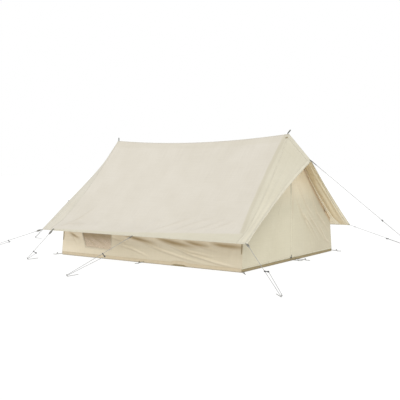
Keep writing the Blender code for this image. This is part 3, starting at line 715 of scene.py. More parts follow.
# The hollows under the eave beside the broad folds, where the wall is painted darker as shade, as (points,
# width) in X and Z
WALL_HOLLOWS = (
    (((-0.40, 0.33), (-0.21, 0.30), (-0.03, 0.275), (0.24, 0.235)), 0.018),
    (((0.16, 0.33), (0.29, 0.30), (0.48, 0.27), (0.65, 0.25), (0.90, 0.24)), 0.022),
    (((0.60, 0.31), (0.78, 0.28), (1.00, 0.255)), 0.018),
    (((0.98, 0.30), (1.18, 0.28), (1.60, 0.27)), 0.024),
    (((-1.34, 0.31), (-1.24, 0.27), (-1.12, 0.23)), 0.014),
    (((-0.98, 0.33), (-0.75, 0.29), (-0.52, 0.26)), 0.016),
)


def wall_folds(x, z):
    calm = ease(z, CLOTH_BOTTOM, 0.10) * ease(WALL_TOP - z, 0.0, 0.05)
    calm *= ease(HALF_LENGTH - abs(x), 0.0, 0.08)
    window = ease(x, WINDOW_HEAD[0] - 0.14, WINDOW_HEAD[0] - 0.03) * ease(-x, 0.42, 0.50)
    height = 0.006 * ripple(x, z * 0.6, 0.3, 6)
    height += 0.005 * sin(17 * x + 2.2 * ripple(x, z, 0.5, 4)) * ease(z, 0.16, 0.40)
    height = sum((crease(x, z, *line) for line in WALL_CREASES), height)
    return height * calm * (1 - 0.93 * window)


def wall_hollow(spot):
    """How deep in the shade of a hollow under the eave a place is: the cloth is painted darker there as
    shade.
    """
    return max(crease(spot.x, spot.z, points, width, 1.0) for points, width in WALL_HOLLOWS)


def wall_lit(spot):
    """1 under the eave and towards the rear, where light comes through the cloth."""
    return min(1, ease(spot.z, 0.16, 0.36) + 0.45 * ease(-spot.x, 0.3, 1.4))


def side_cloth(side, face, folds):
    """A cloth along one side of the tent: face(z) is how far out it stands at a height."""
    def base(x, z):
        return Vector((x, side * face(z), z))
    return Cloth(base, folds, (0, side, 0), (0, 2))


# Creases in the end wall, as (points, width, height) across it and in Z
END_CREASES = (
    (((0.10, 0.84), (0.17, 0.71), (0.28, 0.55), (0.40, 0.42), (0.66, 0.17)), 0.020, 0.01),
    (((0.26, 0.62), (0.34, 0.52), (0.49, 0.40), (0.76, 0.15)), 0.020, 0.012),
    (((0.38, 0.60), (0.49, 0.49), (0.64, 0.37), (0.96, 0.12)), 0.022, 0.013),
    (((0.46, 0.84), (0.57, 0.70), (0.67, 0.54), (0.88, 0.38), (1.06, 0.24)), 0.022, 0.012),
    (((0.14, 0.98), (0.22, 0.86), (0.38, 0.65), (0.64, 0.46)), 0.024, 0.011),
    (((0.70, 0.44), (0.77, 0.34), (0.91, 0.18), (1.06, 0.10)), 0.020, 0.01),
    (((0.05, 0.92), (0.03, 0.50)), 0.024, 0.004),
)
FAN_TOP = 1.42  # the height that the end wall's folds fan out from


def end_folds(y, z):
    """Long soft folds that fan down from under the ridge, most of them towards the far foot."""
    drop = max(0.05, FAN_TOP - z)
    fan = atan2(y, drop)
    calm = ease(drop, 0.10, 0.45) * ease(z, CLOTH_BOTTOM, 0.10) * ease(HALF_WIDTH - abs(y), 0.0, 0.10)
    calm *= ease(underside(HALF_LENGTH, y) - z, 0.0, 0.12)
    calm *= ease(abs(y), 0.0, 0.05) * ease(abs(abs(y) - fold_across(z)), 0.0, 0.025)
    height = 0.003 * sin(15 * fan + 1.5 * ripple(y, z, 0.6, 2) + 1) * ease(y, -0.2, 0.2)
    height += 0.004 * ripple(y, z * 0.5, 0.25, 8)
    return sum((crease(y, z, *line) for line in END_CREASES), height) * calm


def end_wall(end):
    def base(y, z):
        return Vector((end * HALF_LENGTH, y, z))
    return Cloth(base, end_folds, (end, 0, 0), (1, 2))


# Making pieces

def add_piece(name, bm, material, slot, body="tent", nodes=(), lining=None):
    """An object from a bmesh that rides on a body and stands for the nodes that it replaces."""
    for face in bm.faces:
        face.smooth = True
    mesh = bpy.data.meshes.new(name)
    bm.to_mesh(mesh)
    bm.free()
    mesh.materials.append(material)
    if lining is not None:
        mesh.materials.append(lining)
    piece = bpy.data.objects.new(name, mesh)
    bpy.context.scene.collection.objects.link(piece)
    if body is not None:
        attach(piece, body)
    if nodes:
        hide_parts(*nodes)
    return piece


def thicken(piece, thickness):
    """Gives a piece its thickness inwards, with the second of its materials on the inner face."""
    solidify = piece.modifiers.new("thickness", "SOLIDIFY")
    solidify.thickness = thickness
    solidify.offset = -1.0
    if len(piece.data.materials) > 1:
        solidify.material_offset = 1
    return piece


def mark(piece, **shares):
    """Gives each point of a piece the numbers that its material reads."""
    for name, share in shares.items():
        layer = piece.data.attributes.new(name, "FLOAT", "POINT")
        for vert, value in zip(piece.data.vertices, layer.data):
            value.value = share(vert.co)


def mark_creases(piece, cloth, creases, strength):
    """Marks painted shade under each sharp crease of a piece and a painted highlight over it."""
    lines = [(points, 0.8 * width, 1.0) for points, width, _ in creases if width < 0.025]
    p_axis, q_axis = cloth.axes

    def share(spot, drop):
        return strength * max(crease(spot[p_axis], abs(spot[q_axis]) + drop, *line) for line in lines)

    mark(piece, soiled=lambda spot: share(spot, 0.010), crest=lambda spot: share(spot, -0.010))


def face_out(bm, outward):
    """Turns the faces over where they look against the outward way."""
    bm.normal_update()
    if sum(face.normal.dot(outward) * face.calc_area() for face in bm.faces) < 0:
        bmesh.ops.reverse_faces(bm, faces=bm.faces)


def flat_grid(columns, rows):
    """A grid from (0, 0) to (1, 1)."""
    bm = bmesh.new()
    bmesh.ops.create_grid(bm, x_segments=columns, y_segments=rows, size=0.5)
    bmesh.ops.translate(bm, verts=bm.verts, vec=(0.5, 0.5, 0))
    return bm


def set_uv(bm, places):
    """Gives each corner the UV that its vertex has in places."""
    layer = bm.loops.layers.uv.new("UVMap")
    for face in bm.faces:
        for loop in face.loops:
            loop[layer].uv = places[loop.vert]


def drape(bm, cloth, spot, lift=0.0):
    """Lays a flat grid on a cloth: spot(u, v) gives the two coordinates that the cloth works from."""
    places = {}
    for vert in bm.verts:
        p, q = spot(vert.co.x, vert.co.y)
        places[vert] = (p, q * SLOPE_STRETCH if cloth is COVER else q)
        vert.co = cloth.point(p, q, lift)
    set_uv(bm, places)
    bmesh.ops.remove_doubles(bm, verts=bm.verts, dist=0.00005)
    face_out(bm, cloth.outward)


def lay(
    name, cloth, spot, cells, material, lift=0.0, thickness=CANVAS, slot="canvas", body="tent", nodes=(),
    lining=None,
):
    """A panel, patch or tape laid on a cloth's surface."""
    bm = flat_grid(*cells)
    drape(bm, cloth, spot, lift)
    return thicken(add_piece(name, bm, material, slot, body, nodes, lining), thickness)


def sew(name, cloth, route, width, lift, thickness, material, count=60, body="tent"):
    """A strip sewn on a cloth. route(share) gives its middle line in the cloth's two coordinates."""
    bm = flat_grid(count, 4)
    line = [cloth.base(*route(k / count)) for k in range(count + 1)]
    lengths = path_lengths(line)
    places = {}
    for vert in bm.verts:
        share, edge = vert.co.x, 2 * vert.co.y - 1
        before, after = route(max(0, share - 0.01)), route(min(1, share + 0.01))
        tangent = (cloth.base(*after) - cloth.base(*before)).normalized()
        across = cloth.normal(*route(share)).cross(tangent).normalized()
        middle = cloth.base(*route(share)) + across * edge * width / 2
        p, q = (middle[axis] for axis in cloth.axes)
        vert.co = cloth.point(p, q, lift * (1 - 0.5 * edge ** 4))
        places[vert] = (lengths[round(share * count)], edge * width / 2)
    set_uv(bm, places)
    face_out(bm, cloth.outward)
    return thicken(add_piece(name, bm, material, "canvas", body), thickness)


def path_lengths(path):
    """How far each point of a path is from its start, along it."""
    lengths = [0.0]
    for first, second in zip(path, path[1:]):
        lengths.append(lengths[-1] + (second - first).length)
    return lengths


def tube(path, radius, sides=10, radii=None):
    """A closed tube along a path, with UVs in metres along it and in turns round it."""
    last = len(path) - 1
    bm = flat_grid(last, sides)
    ways = [(path[min(k + 1, last)] - path[max(k - 1, 0)]).normalized() for k in range(last + 1)]
    sideways = ways[0].orthogonal().normalized()
    frames = []
    for way in ways:
        sideways = (sideways - way * sideways.dot(way)).normalized()
        frames.append((sideways.copy(), way.cross(sideways)))
    lengths = path_lengths(path)
    places = {}
    for vert in bm.verts:
        k, turn = round(vert.co.x * last), tau * vert.co.y
        size = radius * (radii[k] if radii else 1)
        places[vert] = (lengths[k], vert.co.y)
        vert.co = path[k] + (frames[k][0] * cos(turn) + frames[k][1] * sin(turn)) * size
    set_uv(bm, places)
    bmesh.ops.remove_doubles(bm, verts=bm.verts, dist=radius * 0.02)
    bmesh.ops.holes_fill(bm, edges=bm.edges, sides=sides + 1)
    bmesh.ops.recalc_face_normals(bm, faces=bm.faces)
    return bm


def turned(profile, sides):
    """A round piece about Z from (radius, height) points."""
    bm = bmesh.new()
    verts = [bm.verts.new((radius, 0, height)) for radius, height in profile]
    edges = [bm.edges.new(pair) for pair in zip(verts, verts[1:])]
    bmesh.ops.spin(
        bm, geom=verts + edges, axis=(0, 0, 1), cent=(0, 0, 0), angle=tau, steps=sides, use_merge=True
    )
    bmesh.ops.remove_doubles(bm, verts=bm.verts, dist=0.00001)
    bmesh.ops.recalc_face_normals(bm, faces=bm.faces)
    return bm


def stand(bm, place, up):
    """Moves a piece made about Z to a place, with its Z turned to the way up."""
    bm.transform(Matrix.Translation(place) @ up.to_track_quat("Z", "Y").to_matrix().to_4x4())
    return bm


def rounded_copy(node, width, segments=2):
    """A copy of a rigid part's mesh with its edges rounded."""
    bm = bmesh.new()
    bm.from_mesh(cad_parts[node].data)
    bmesh.ops.remove_doubles(bm, verts=bm.verts, dist=0.00001)
    bmesh.ops.dissolve_limit(bm, angle_limit=radians(1), verts=bm.verts, edges=bm.edges)
    joined = [edge for edge in bm.edges if len(edge.link_faces) == 2]
    sharp = [edge for edge in joined if edge.calc_face_angle() > radians(35)]
    bmesh.ops.bevel(
        bm, geom=sharp, offset=width, offset_type="OFFSET", affect="EDGES", segments=segments, profile=0.5,
        material=-1, clamp_overlap=True,
    )
    return bm


# Guys and the small loops at the walls' feet

def adjuster_way(up, side, turn):
    """The way along an adjuster, which hangs turned about its guy's taut strand."""
    level = (side - up * side.dot(up)).normalized()
    below = level.cross(up)
    if below.z > 0:
        below = -below
    return level * cos(turn) + below * sin(turn)


def half_turn(middle, ahead, side, radius):
    """Points round a peg, from one side of it over the front to the other."""
    turns = [pi * k / 12 for k in range(13)]
    return [middle - side * radius * cos(turn) + ahead * radius * sin(turn) for turn in turns]


def add_line(path):
    """Works out a path's start, its length and its points, and keeps none of them."""
    tuple(path[0])
    path_lengths(path)[-1]
    [tuple(point) for point in path]


def make_guy(name, out, edge, run, reach, hang):
    """A guy: its line round the peg, the return strand and knot, the adjuster, the peg and the tab."""
    label = "guy_" + name
    body = "adjuster_" + name
    hem = Vector((out, edge * EAVE_HALF, EAVE_HEIGHT if edge else BEAK_HEIGHT))
    middle = Vector((hem.x + run[0], hem.y + run[1], LOOP_HEIGHT))
    down = (middle - hem).normalized()
    side = UP.cross(down).normalized()
    start = hem + down * (TAB_LENGTH + GAP)
    taut = middle - side * LOOP_RADIUS
    up = (start - taut).normalized()
    across = adjuster_way(up, side, radians(hang))
    path = [start.lerp(taut, k / 16) for k in range(16)] + half_turn(middle, down, side, LOOP_RADIUS)
    line = add_piece(label + "_line", tube(path, ROPE_RADIUS), CORD, "rope", nodes=(label + "_rope",))
    add_line(path)
    seat = taut + up * reach
    hole = seat + across * 2 * ADJUSTER_PITCH
    back = [path[-1].lerp(hole - up * (ADJUSTER_THICK / 2), k / 10) for k in range(11)]
    strand = add_piece(label + "_return", tube(back, ROPE_RADIUS), CORD, "rope", None)
    knot = add_piece(label + "_knot", make_knot(hole, up), CORD, "rope", body)
    add_line(back)
    tuple(back[0])
    tuple(back[-1])
    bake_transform(strand)
    node = label + "_adjuster"
    add_piece(label + "_slide", rounded_copy(node, 0.0008), PLASTIC, "plastic", body, (node,))
    for k, place in enumerate((seat, hole)):
        add_piece(f"{label}_collar_{k}", make_collar(place, up), PLASTIC, "plastic", body)
    add_piece(label + "_stake", make_peg(middle, down), ZINC, "peg", nodes=(label + "_peg",))
    make_tab(label, hem, down, side, TAB_TWIST if name.startswith(("rear", "side")) else 0.0)


def make_collar(hole, up):
    """The thick rim round a hole in the adjuster."""
    rim = [
        (COLLAR_BORE, COLLAR_HALF), (COLLAR_RADIUS - COLLAR_ROUND, COLLAR_HALF),
        (COLLAR_RADIUS, COLLAR_HALF - COLLAR_ROUND),
    ]
    profile = rim + [(radius, -height) for radius, height in reversed(rim)] + rim[:1]
    return stand(turned(profile, 20), hole, up)


def make_knot(hole, up):
    """The stopper knot over the adjuster's end hole: three close turns of the line."""
    points = []
    for k in range(37):
        turn = tau * k / 12
        ring = Vector((cos(turn), sin(turn), 0)) * ROPE_RADIUS * 1.3
        points.append(ring + UP * (ROPE_RADIUS * (1.2 + 1.3 * k / 12)))
    return stand(tube(points, ROPE_RADIUS * 0.95, 8), hole + up * (ADJUSTER_THICK / 2), up)


def make_peg(middle, down):
    """A hooked peg laid on the ground under its line, with its bent head inside the loop."""
    out = Vector((down.x, down.y, 0)).normalized()
    level = hypot(down.x, down.y)
    post = Vector((middle.x, middle.y, 0)) + out * (LOOP_RADIUS * level - ROPE_RADIUS - PEG_RADIUS - GAP)
    return lay_peg(post, out, PEG_LENGTH)


def lay_peg(post, out, length):
    """A round bar that lies on the ground behind its post, bends up there and curls over forwards."""
    path = [(-length, PEG_RADIUS), (-length + 0.002, PEG_RADIUS), (PEG_POINT - length, PEG_RADIUS)]
    path += [(mix(PEG_POINT - length, -PEG_BEND, k / 6), PEG_RADIUS) for k in range(1, 6)]
    for k in range(9):
        turn = pi / 2 * k / 8
        path.append((-PEG_BEND * (1 - sin(turn)), PEG_RADIUS + PEG_BEND * (1 - cos(turn))))
    for k in range(15):
        turn = pi * k / 14
        path.append((PEG_CURL * (1 - cos(turn)), PEG_HEIGHT - PEG_CURL + PEG_CURL * sin(turn)))
    radii = [0.12, 0.3, 1] + [1] * (len(path) - 5) + [0.97, 0.8]
    return tube([post + out * a + UP * z for a, z in path], PEG_RADIUS, 14, radii)


def make_tab(label, hem, down, side, twist):
    """The webbing tab: folded over at its end, where the line is tied through it."""
    bm = flat_grid(30, 6)
    places = {}
    up = side.cross(down).normalized()
    for vert in bm.verts:
        run, edge = vert.co.x, 2 * vert.co.y - 1
        along = mix(-TAB_SEWN, TAB_LENGTH - 0.002, run)
        pinch = 1 - 0.45 * ease(run, 0.80, 1.0)
        curl = 0.0016 * ease(run, 0.80, 1.0) * (1 - edge * edge)
        turn = twist * ease(along, 0.0, 0.05)
        flat = side * cos(turn) + up * sin(turn)
        thick = up * cos(turn) - side * sin(turn)
        vert.co = hem + down * along + flat * edge * TAB_WIDTH / 2 * pinch + thick * (curl + 0.0012)
        places[vert] = (along, edge * TAB_WIDTH / 2)
    set_uv(bm, places)
    face_out(bm, up)
    thicken(add_piece(label + "_tab", bm, WEBBING, "rope"), TAB_THICK * 0.8)
    hitch = []
    for k in range(31):
        turn = tau * k / 10
        ring = side * cos(turn) * 0.0052 + up * sin(turn) * 0.0040
        hitch.append(hem + down * (TAB_LENGTH - 0.010 + 0.0038 * k / 10) + ring)
    add_piece(label + "_hitch", tube(hitch, ROPE_RADIUS * 0.95, 8), CORD, "rope")


def make_foot_loop(name, sewn, peg):
    """A loop at the wall's foot with its small peg laid out from it."""
    start = Vector((*sewn, FOOT_SEWN_HEIGHT))
    post = Vector((*peg, FOOT_LOOP_HEIGHT))
    way = (post - start).normalized()
    level = Vector((way.x, way.y, 0)).normalized()
    across = level.cross(UP)
    path = [start.lerp(post, k / 9) - across * FOOT_LOOP_HALF * (0.45 + 0.55 * k / 9) for k in range(9)]
    path += half_turn(post, level, across, FOOT_LOOP_HALF)
    path += [post.lerp(start, k / 9) + across * FOOT_LOOP_HALF * (1 - 0.55 * k / 9) for k in range(1, 10)]
    label = "foot_loop_" + name
    add_piece(label, tube(path, FOOT_LOOP_RADIUS, 8), WEBBING, "rope")
    head = Vector((*peg, 0)) + level * (FOOT_LOOP_HALF - FOOT_LOOP_RADIUS - PEG_RADIUS)
    add_piece(label + "_peg", lay_peg(head, -level, FOOT_PEG_LENGTH), DULL_STEEL, "peg")


# Roof and hoods

def outside_walls(spot):
    """1 where the roof has no room under it: past the end wall's seam and past the side wall's."""
    across = abs(spot.y)
    past_end = ease(spot.x - end_seam(across), -0.012, 0.012)
    return max(past_end, ease(across - side_seam(spot.x), -0.008, 0.008))


def doubled(spot):
    """1 where a wall's seam or the ridge's tape lies under the cloth. The roof is painted darker there as
    shade, where the doubled cloth lets less light through.
    """
    across = abs(spot.y)
    from_end = abs(spot.x - end_seam(across))
    seam = ease(END_SEAM_HALF + 0.008 - from_end, 0.0, 0.016) * ease(side_seam(spot.x) - across, -0.01, 0.03)
    return max(seam, 0.2 * ease(RIDGE_TAPE_HALF - across, -0.006, 0.006))


def make_roof(side_name, side):
    def spot(u, v):
        across = max(GAP / 2, EAVE_HALF * v)
        return (2 * u - 1) * (seam_out(across) - GAP / 2), side * across

    def eave(t):
        return (2 * t - 1) * (SEAM_EAVE_HALF - 0.006), side * (EAVE_HALF - EAVE_HEM_IN)

    name = "roof_" + side_name
    piece = lay(name + "_cloth", COVER, spot, (200, 84), CANVAS_ROOF, nodes=(name,), lining=CANVAS_LINING)
    mark(piece, outside=outside_walls, doubled=doubled)
    mark_creases(piece, COVER, SLOPE_CREASES, 0.20)
    hem = sew(name + "_eave_hem", COVER, eave, EAVE_HEM, 0.0011, 0.0036, EAVE_STRIP, 150)


def make_hood(name, end, canvas, hem, seam):
    def spot(u, v):
        y = EAVE_HALF * (2 * u - 1)
        across = abs(y)
        return end * mix(seam_out(across) + GAP / 2, hood_edge(across)[0], v), y

    def ridge_spot(u, v):
        return end * mix(RIDGE_HALF - 0.02, BEAK_OUT - 0.012, u), HOOD_TAPE_HALF * (2 * v - 1)

    piece = lay(name + "_cloth", COVER, spot, (200, 30), canvas, nodes=(name,), lining=CANVAS_LINING)
    mark(
        piece,
        high=lambda spot: ease(0.9 - abs(spot.y), 0.0, 0.6),
        # Painted shade: the hood's underside is darker deep under the hood and lighter towards its free edge
        inner=lambda spot: 0.75 - 0.75 * ease(abs(spot.x) - seam_out(abs(spot.y)), 0.01, 0.14),
        streak=lambda spot: 0.5 * ease(ripple(spot.x * 9, spot.y * 0.6, 0.35, 21), 0.0, 0.35),
    )
    strips = [lay(name + "_ridge_tape", COVER, ridge_spot, (40, 8), seam, 0.0013, 0.0012)]
    for side_name, side in SIDES:
        def edge_route(t):
            across = mix(0.008, EAVE_HALF - 0.004, t)
            return end * (hood_edge(across)[0] - HOOD_HEM / 2 + 0.001), side * across

        def seam_route(t):
            across = mix(0.012, EAVE_HALF - 0.004, t)
            return end * seam_out(across), side * across

        def eave_route(t):
            return end * mix(SEAM_EAVE_HALF, CORNER_OUT - 0.006, t), side * (EAVE_HALF - EAVE_HEM_IN)

        def bartack_spot(u, v):
            out = BARTACK_OUT + BARTACK_LENGTH * (u - 0.5)
            return out, side * (BARTACK_ACROSS + BARTACK_WIDTH * (v - 0.5))

        for part, route, width, lift, thickness, finish, count in (
            ("edge_hem", edge_route, HOOD_HEM, 0.0011, 0.0036, hem, 90),
            ("seam", seam_route, SEAM_WIDTH, 0.0012, 0.0015, seam, 90),
            ("eave_hem", eave_route, EAVE_HEM, 0.0012, 0.0038, hem, 14),
            ("inner_edge", edge_route, HOOD_HEM, INNER_LIFT, INNER_THICK, INNER_STRIP, 90),
            ("inner_seam", seam_route, TAPE_WIDTH, INNER_LIFT, INNER_THICK, INNER_STRIP, 90),
            ("inner_eave", eave_route, EAVE_HEM, INNER_LIFT, INNER_THICK, INNER_STRIP, 14),
        ):
            label = f"{name}_{part}_{side_name}"
            strips.append(sew(label, COVER, route, width, lift, thickness, finish, count))
        if end == 1:
            label = f"{name}_bartack_{side_name}"
            strips.append(lay(label, COVER, bartack_spot, (8, 4), STRAP, 0.0030, 0.0012))


# Walls

WINDOW_CORNERS = (
    (WINDOW_FOOT[0], WINDOW_LOW), (WINDOW_FOOT[1], WINDOW_LOW - WINDOW_DIP),
    (WINDOW_HEAD[1], WINDOW_HIGH), (WINDOW_HEAD[0], WINDOW_HIGH),
)
WINDOW_PARTS = ("sill", "front", "head", "rear")
WINDOW_SIDES = tuple(zip(WINDOW_PARTS, WINDOW_CORNERS, WINDOW_CORNERS[1:] + WINDOW_CORNERS[:1]))


def cut_window(bm):
    """Cuts the window's four sides into the wall's flat grid and takes out the cloth between them."""
    inward = []
    for _, first, second in WINDOW_SIDES:
        first, second = Vector((*first, 0)), Vector((*second, 0))
        across = UP.cross(second - first).normalized()
        inward.append((first, across))
        bmesh.ops.bisect_plane(
            bm, geom=bm.verts[:] + bm.edges[:] + bm.faces[:], plane_co=first, plane_no=across, dist=0.0001
        )
    def is_inside(face):
        return all((face.calc_center_median() - first).dot(across) > 0 for first, across in inward)

    bmesh.ops.delete(bm, geom=[face for face in bm.faces if is_inside(face)], context="FACES")


def foot_hem_height(x):
    """The middle of the hem at the wall's foot, which has ridden up in one place."""
    return 0.026 + 0.016 * ease(x, 0.44, 0.50) * ease(-x, -0.70, -0.64)


def make_side_wall(side_name, side):
    cloth = side_cloth(side, wall_face, wall_folds)
    top = WALL_TOP - ROOF_DROP - WALL_TOP_GAP
    reach = HALF_LENGTH - CANVAS - GAP
    name = "side_wall_" + side_name
    bm = flat_grid(360, 54)
    for vert in bm.verts:
        vert.co = Vector((mix(-reach, reach, vert.co.x), mix(CLOTH_BOTTOM, top, vert.co.y), 0))
    cut_window(bm)
    drape(bm, cloth, lambda x, z: (x, z))
    piece = thicken(add_piece(name + "_cloth", bm, CANVAS_WALL, "canvas", nodes=(name,)), CANVAS)
    mark_creases(piece, cloth, WALL_CREASES, 0.45)
    mark(piece, lit=wall_lit, hollow=wall_hollow)

    def foot_route(t):
        x = mix(-reach, reach, t)
        return x, foot_hem_height(x)

    strips = [sew(name + "_foot_hem", cloth, foot_route, WALL_HEM, 0.0014, 0.001, FOOT_STRIP, 150)]
    for end_name, end in (("front", 1), ("rear", -1)):
        def strap_spot(u, v):
            return end * (STRAP_OUT + STRAP_WIDTH * (u - 0.5)), mix(*STRAP_ENDS, v)

        strap = f"{name}_{end_name}_strap"
        strips.append(lay(strap, cloth, strap_spot, (3, 24), STRAP, 0.0024, 0.0014, "rope"))
    for part, first, second in WINDOW_SIDES:
        def tape_route(t):
            return mix(first[0], second[0], t), mix(first[1], second[1], t)

        tape = f"window_{side_name}_{part}_tape"
        strips.append(sew(tape, cloth, tape_route, TAPE_WIDTH, 0.0009, 0.0009, WINDOW_STRIP, 24))


NET_CREASES = (
    ((-1.10, 0.40), (-0.85, 0.26), (-0.60, 0.16)),
    ((-1.07, 0.31), (-0.80, 0.15)),
    ((-0.96, 0.41), (-0.76, 0.30), (-0.57, 0.22)),
    ((-0.80, 0.40), (-0.58, 0.30)),
)
NET_LAP = 0.015
NET_THICK = 0.0006
BLIND_THICK = 0.001


def make_net_panel(side_name, side):
    """The window's net, which laps under the wall's cloth all round."""
    def folds(x, z):
        middle = ease(z, WINDOW_LOW - 0.015, 0.2) * ease(WINDOW_HIGH + 0.015 - z, 0.0, 0.08)
        creases = sum(crease(x, z, points, 0.012, 0.004) for points in NET_CREASES)
        return (creases + 0.0015 * ripple(x, z, 0.15, 5) - 0.003) * middle

    def spot(u, v):
        left = mix(WINDOW_FOOT[0] - NET_LAP, WINDOW_HEAD[0] - NET_LAP, v)
        right = mix(WINDOW_FOOT[1] + NET_LAP, WINDOW_HEAD[1] + NET_LAP, v)
        return mix(left, right, u), mix(WINDOW_LOW - NET_LAP - WINDOW_DIP * u, WINDOW_HIGH + NET_LAP, v)

    cloth = side_cloth(side, lambda z: wall_face(z) - CANVAS - GAP, folds)
    name = "window_net_" + side_name
    piece = lay(name, cloth, spot, (48, 28), NET, 0.0, NET_THICK, "net", nodes=("window_mesh_" + side_name,))
    mark_creases(piece, cloth, [(points, 0.011, 0) for points in NET_CREASES], 0.8)
    # Painted shade: the net's top is darker where the eave shades it
    mark(piece, hollow=lambda spot: 0.8 * ease(spot.z, 0.225, 0.285))


def make_blind(side_name, side):
    """The flap that closes the window from inside."""
    def folds(x, z):
        loose = ease(FLAP_TOP - z, 0.02, 0.2)
        return -loose * (0.004 + 0.004 * sin(22 * x + 3 * ripple(x, z, 0.3, 2)))

    def spot(u, v):
        return mix(*FLAP_ENDS, u), mix(FLAP_LOW, FLAP_TOP, v)

    cloth = side_cloth(side, lambda z: FLAP_OUT, folds)
    piece = lay(
        "window_blind_" + side_name, cloth, spot, (60, 30), CANVAS_BLIND, 0.0, BLIND_THICK,
        body="flap_" + side_name, nodes=("window_flap_" + side_name,),
    )


def outer_edge(z):
    """How far across the end wall reaches at a height, under the roof's line."""
    if z <= underside(HALF_LENGTH, wall_face(z)):
        return wall_face(z)
    low, high = 0.0, WALL_TOP_HALF
    for _ in range(24):
        middle = (low + high) / 2
        low, high = (middle, high) if underside(HALF_LENGTH, middle) > z else (low, middle)
    return low


def sew_end_hem(name, cloth, first, last, foot, count, body="tent"):
    """The hem at an end wall's foot, between two places across it."""
    def route(t):
        return mix(first, last, t), foot + END_HEM_IN

    return sew(name + "_foot_hem", cloth, route, END_HEM, 0.001, 0.001, END_STRIP, count, body)


def make_rear_wall():
    def spot(u, v):
        z = mix(CLOTH_BOTTOM, underside(HALF_LENGTH, 0), v)
        return (2 * u - 1) * outer_edge(z), z

    cloth = end_wall(-1)
    piece = lay("rear_wall_cloth", cloth, spot, (90, 110), CANVAS_REAR, nodes=("rear_wall",))
    hem = sew_end_hem("rear_wall", cloth, -HEM_REACH, HEM_REACH, CLOTH_BOTTOM, 90)


def under_roof(spot):
    """1 close under the roof on the far side and at the ridge, where the cloth is painted a warm tan as the
    roof's shade.
    """
    room = underside(HALF_LENGTH, spot.y) - spot.z
    return ease(0.09 - room, 0.0, 0.09) * ease(spot.y, -0.10, 0.10)


def mark_end(piece, cloth):
    """Marks the painted shade in the strip under the roof, the high part that light comes through and the far
    half, which is painted darker as shade.
    """
    mark_creases(piece, cloth, END_CREASES, 0.36)
    mark(
        piece, shaded=under_roof, lit=lambda spot: ease(spot.z, 0.62, 1.08),
        # Painted shade: darker towards the far half of the end wall
        away=lambda spot: ease(spot.y, -0.1, 0.8),
    )


def make_front_wall(side_name, side):
    """The fixed cloth outside the door's fold line and up to the ridge."""
    def spot(u, v):
        z = mix(CLOTH_BOTTOM, underside(HALF_LENGTH, 0), v)
        inner = fold_across(z) if z < LEAF_TOP else GAP / 2
        return side * mix(inner, max(inner, outer_edge(z)), u), z

    def binding_route(t):
        z = mix(CLOTH_BOTTOM, LEAF_TOP, t)
        return side * fold_across(z), z

    cloth = end_wall(1)
    name = "front_wall_" + side_name
    piece = lay(name + "_cloth", cloth, spot, (110, 200), CANVAS_END, nodes=(name,))
    mark_end(piece, cloth)
    hem = sew_end_hem(name, cloth, side * (DOOR_HALF + 0.005), side * HEM_REACH, CLOTH_BOTTOM, 40)
    label = name + "_fold_binding"
    binding = sew(label, cloth, binding_route, BINDING_WIDTH, -CANVAS - 0.0004, 0.0008, END_STRIP)


def make_leaf(side_name, side):
    """A door leaf. The near one also has the guard behind the zip and a tab at its foot."""
    def spot(u, v):
        z = mix(LEAF_FOOT, LEAF_TOP, v)
        return side * mix(edge, fold_across(z), u), z

    def tape_route(t):
        return side * ZIP_TAPE_OUT, mix(LEAF_FOOT + 0.002, CHAIN_TOP, t)

    def guard_route(t):
        return GUARD_MIDDLE, mix(LEAF_FOOT + 0.002, LEAF_TOP - 0.002, t)

    def tab_spot(u, v):
        return mix(*FOOT_TAB_ENDS, u), mix(LEAF_FOOT, FOOT_TAB_TOP, v)

    edge = LEAF_EDGES[side_name]
    cloth = end_wall(1)
    name = "door_leaf_" + side_name
    body = "leaf_" + side_name
    piece = lay(name + "_cloth", cloth, spot, (70, 170), CANVAS_END, body=body, nodes=(name,))
    mark_end(piece, cloth)
    strips = [
        sew_end_hem(name, cloth, side * (edge + 0.02), side * (DOOR_HALF - 0.006), LEAF_FOOT, 40, body),
        sew(name + "_zip_tape", cloth, tape_route, ZIP_TAPE_WIDTH, 0.0006, 0.0006, END_STRIP, 120, body),
    ]
    if side < 0:
        strips += [
            lay(name + "_foot_tab", cloth, tab_spot, (6, 4), WEBBING, 0.0024, 0.0014, "rope", body),
            sew(
                name + "_zip_guard", cloth, guard_route, GUARD_WIDTH, GUARD_LIFT, 0.0008, END_STRIP, 120,
                body,
            ),
        ]


# Groundsheet and hardware

FLOOR_HEIGHT = 0.0018
INNER_ROW = (0.975, 0.967)  # where the grid's row inside the rim lies, as a share of the floor
UPTURN_IN = 0.0035


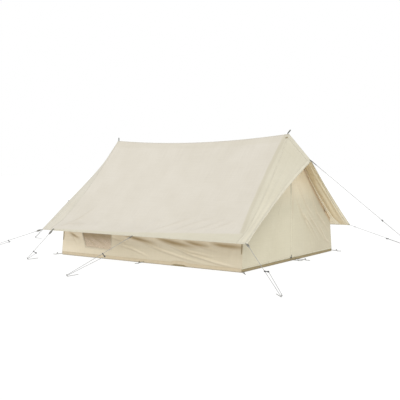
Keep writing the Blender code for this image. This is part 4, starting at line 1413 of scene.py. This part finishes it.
def make_groundsheet():
    """The floor with its edge turned up all round: the grid's row inside the rim is moved out to its foot."""
    bm = flat_grid(80, 60)
    for vert in bm.verts:
        x, y = mix(-1, 1, vert.co.x), mix(-1, 1, vert.co.y)
        rim = x * x > 0.9999 or y * y > 0.9999
        height = RIM_HEIGHT - 0.0005 if rim else FLOOR_HEIGHT
        vert.co = Vector((x * (HALF_LENGTH - 0.002), y * (HALF_WIDTH - 0.002), height))
        if not rim:
            vert.co.x *= (HALF_LENGTH - UPTURN_IN) / HALF_LENGTH / INNER_ROW[0]
            vert.co.y *= (HALF_WIDTH - UPTURN_IN) / HALF_WIDTH / INNER_ROW[1]
            vert.co.z += 0.0012 * max(0, ripple(x, y, 0.12, 1))
    face_out(bm, UP)
    piece = thicken(add_piece("groundsheet_tub", bm, COATED, "groundsheet", nodes=("groundsheet",)), CANVAS)


def set_finish(node, material):
    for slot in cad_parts[node].material_slots:
        slot.material = material


def dress_hardware():
    """Finishes for the rigid parts whose shape stays, and rounded copies of the small ones."""
    for end_name in ("front", "rear"):
        for part, finish in (("lower", ZINC), ("upper", ZINC), ("spike", DULL_STEEL), ("foot", RUBBER)):
            set_finish(f"{end_name}_pole_{part}", finish)
    for name, node, rounding, finish, slot, body in (
        ("zip_chain_coil", "zip_chain", 0.0002, ZIP_TEETH, "zip_tape", "leaf_near"),
        ("zip_slider_body", "zip_slider", 0.0003, PLASTIC, "zip_metal", "slider"),
        ("zip_pull_tab", "zip_pull", 0.0004, PLASTIC, "plastic", "pull"),
    ):
        add_piece(name, rounded_copy(node, rounding), finish, slot, body, (node,))
    for side_name, _ in SIDES:
        node = "door_toggle_" + side_name
        add_piece(node + "_barrel", rounded_copy(node, 0.0015, 3), WOOD, "toggle", nodes=(node,))


def make_spike_cap(end_name, start, end):
    """A dull rubber cap over the end of a pole's spike."""
    path = [Vector(start).lerp(Vector(end), k / 8) for k in range(9)]
    path.append(path[-1] + (path[-1] - path[0]).normalized() * 0.002)
    cap = tube(path, CAP_RADIUS, 14, [0.9] + [1] * 8 + [0.55])
    add_piece(end_name + "_spike_cap", cap, CAP_RUBBER, "rubber")


def make_scene():
    add_camera()
    add_stage()
    for guy in GUYS:
        make_guy(*guy)
    for side_name, side in SIDES:
        make_roof(side_name, side)
        make_side_wall(side_name, side)
        make_net_panel(side_name, side)
        make_blind(side_name, side)
        make_front_wall(side_name, side)
    for side_name, side in SIDES:
        make_leaf(side_name, side)
    make_rear_wall()
    make_hood("front_hood", 1, CANVAS_HOOD, HOOD_STRIP, SEAM_STRIP)
    make_hood("rear_hood", -1, CANVAS_REAR_HOOD, REAR_STRIP, REAR_STRIP)
    for cap in SPIKE_CAPS:
        make_spike_cap(*cap)
    for loop in FOOT_LOOPS:
        make_foot_loop(*loop)
    make_groundsheet()
    dress_hardware()


make_scene()
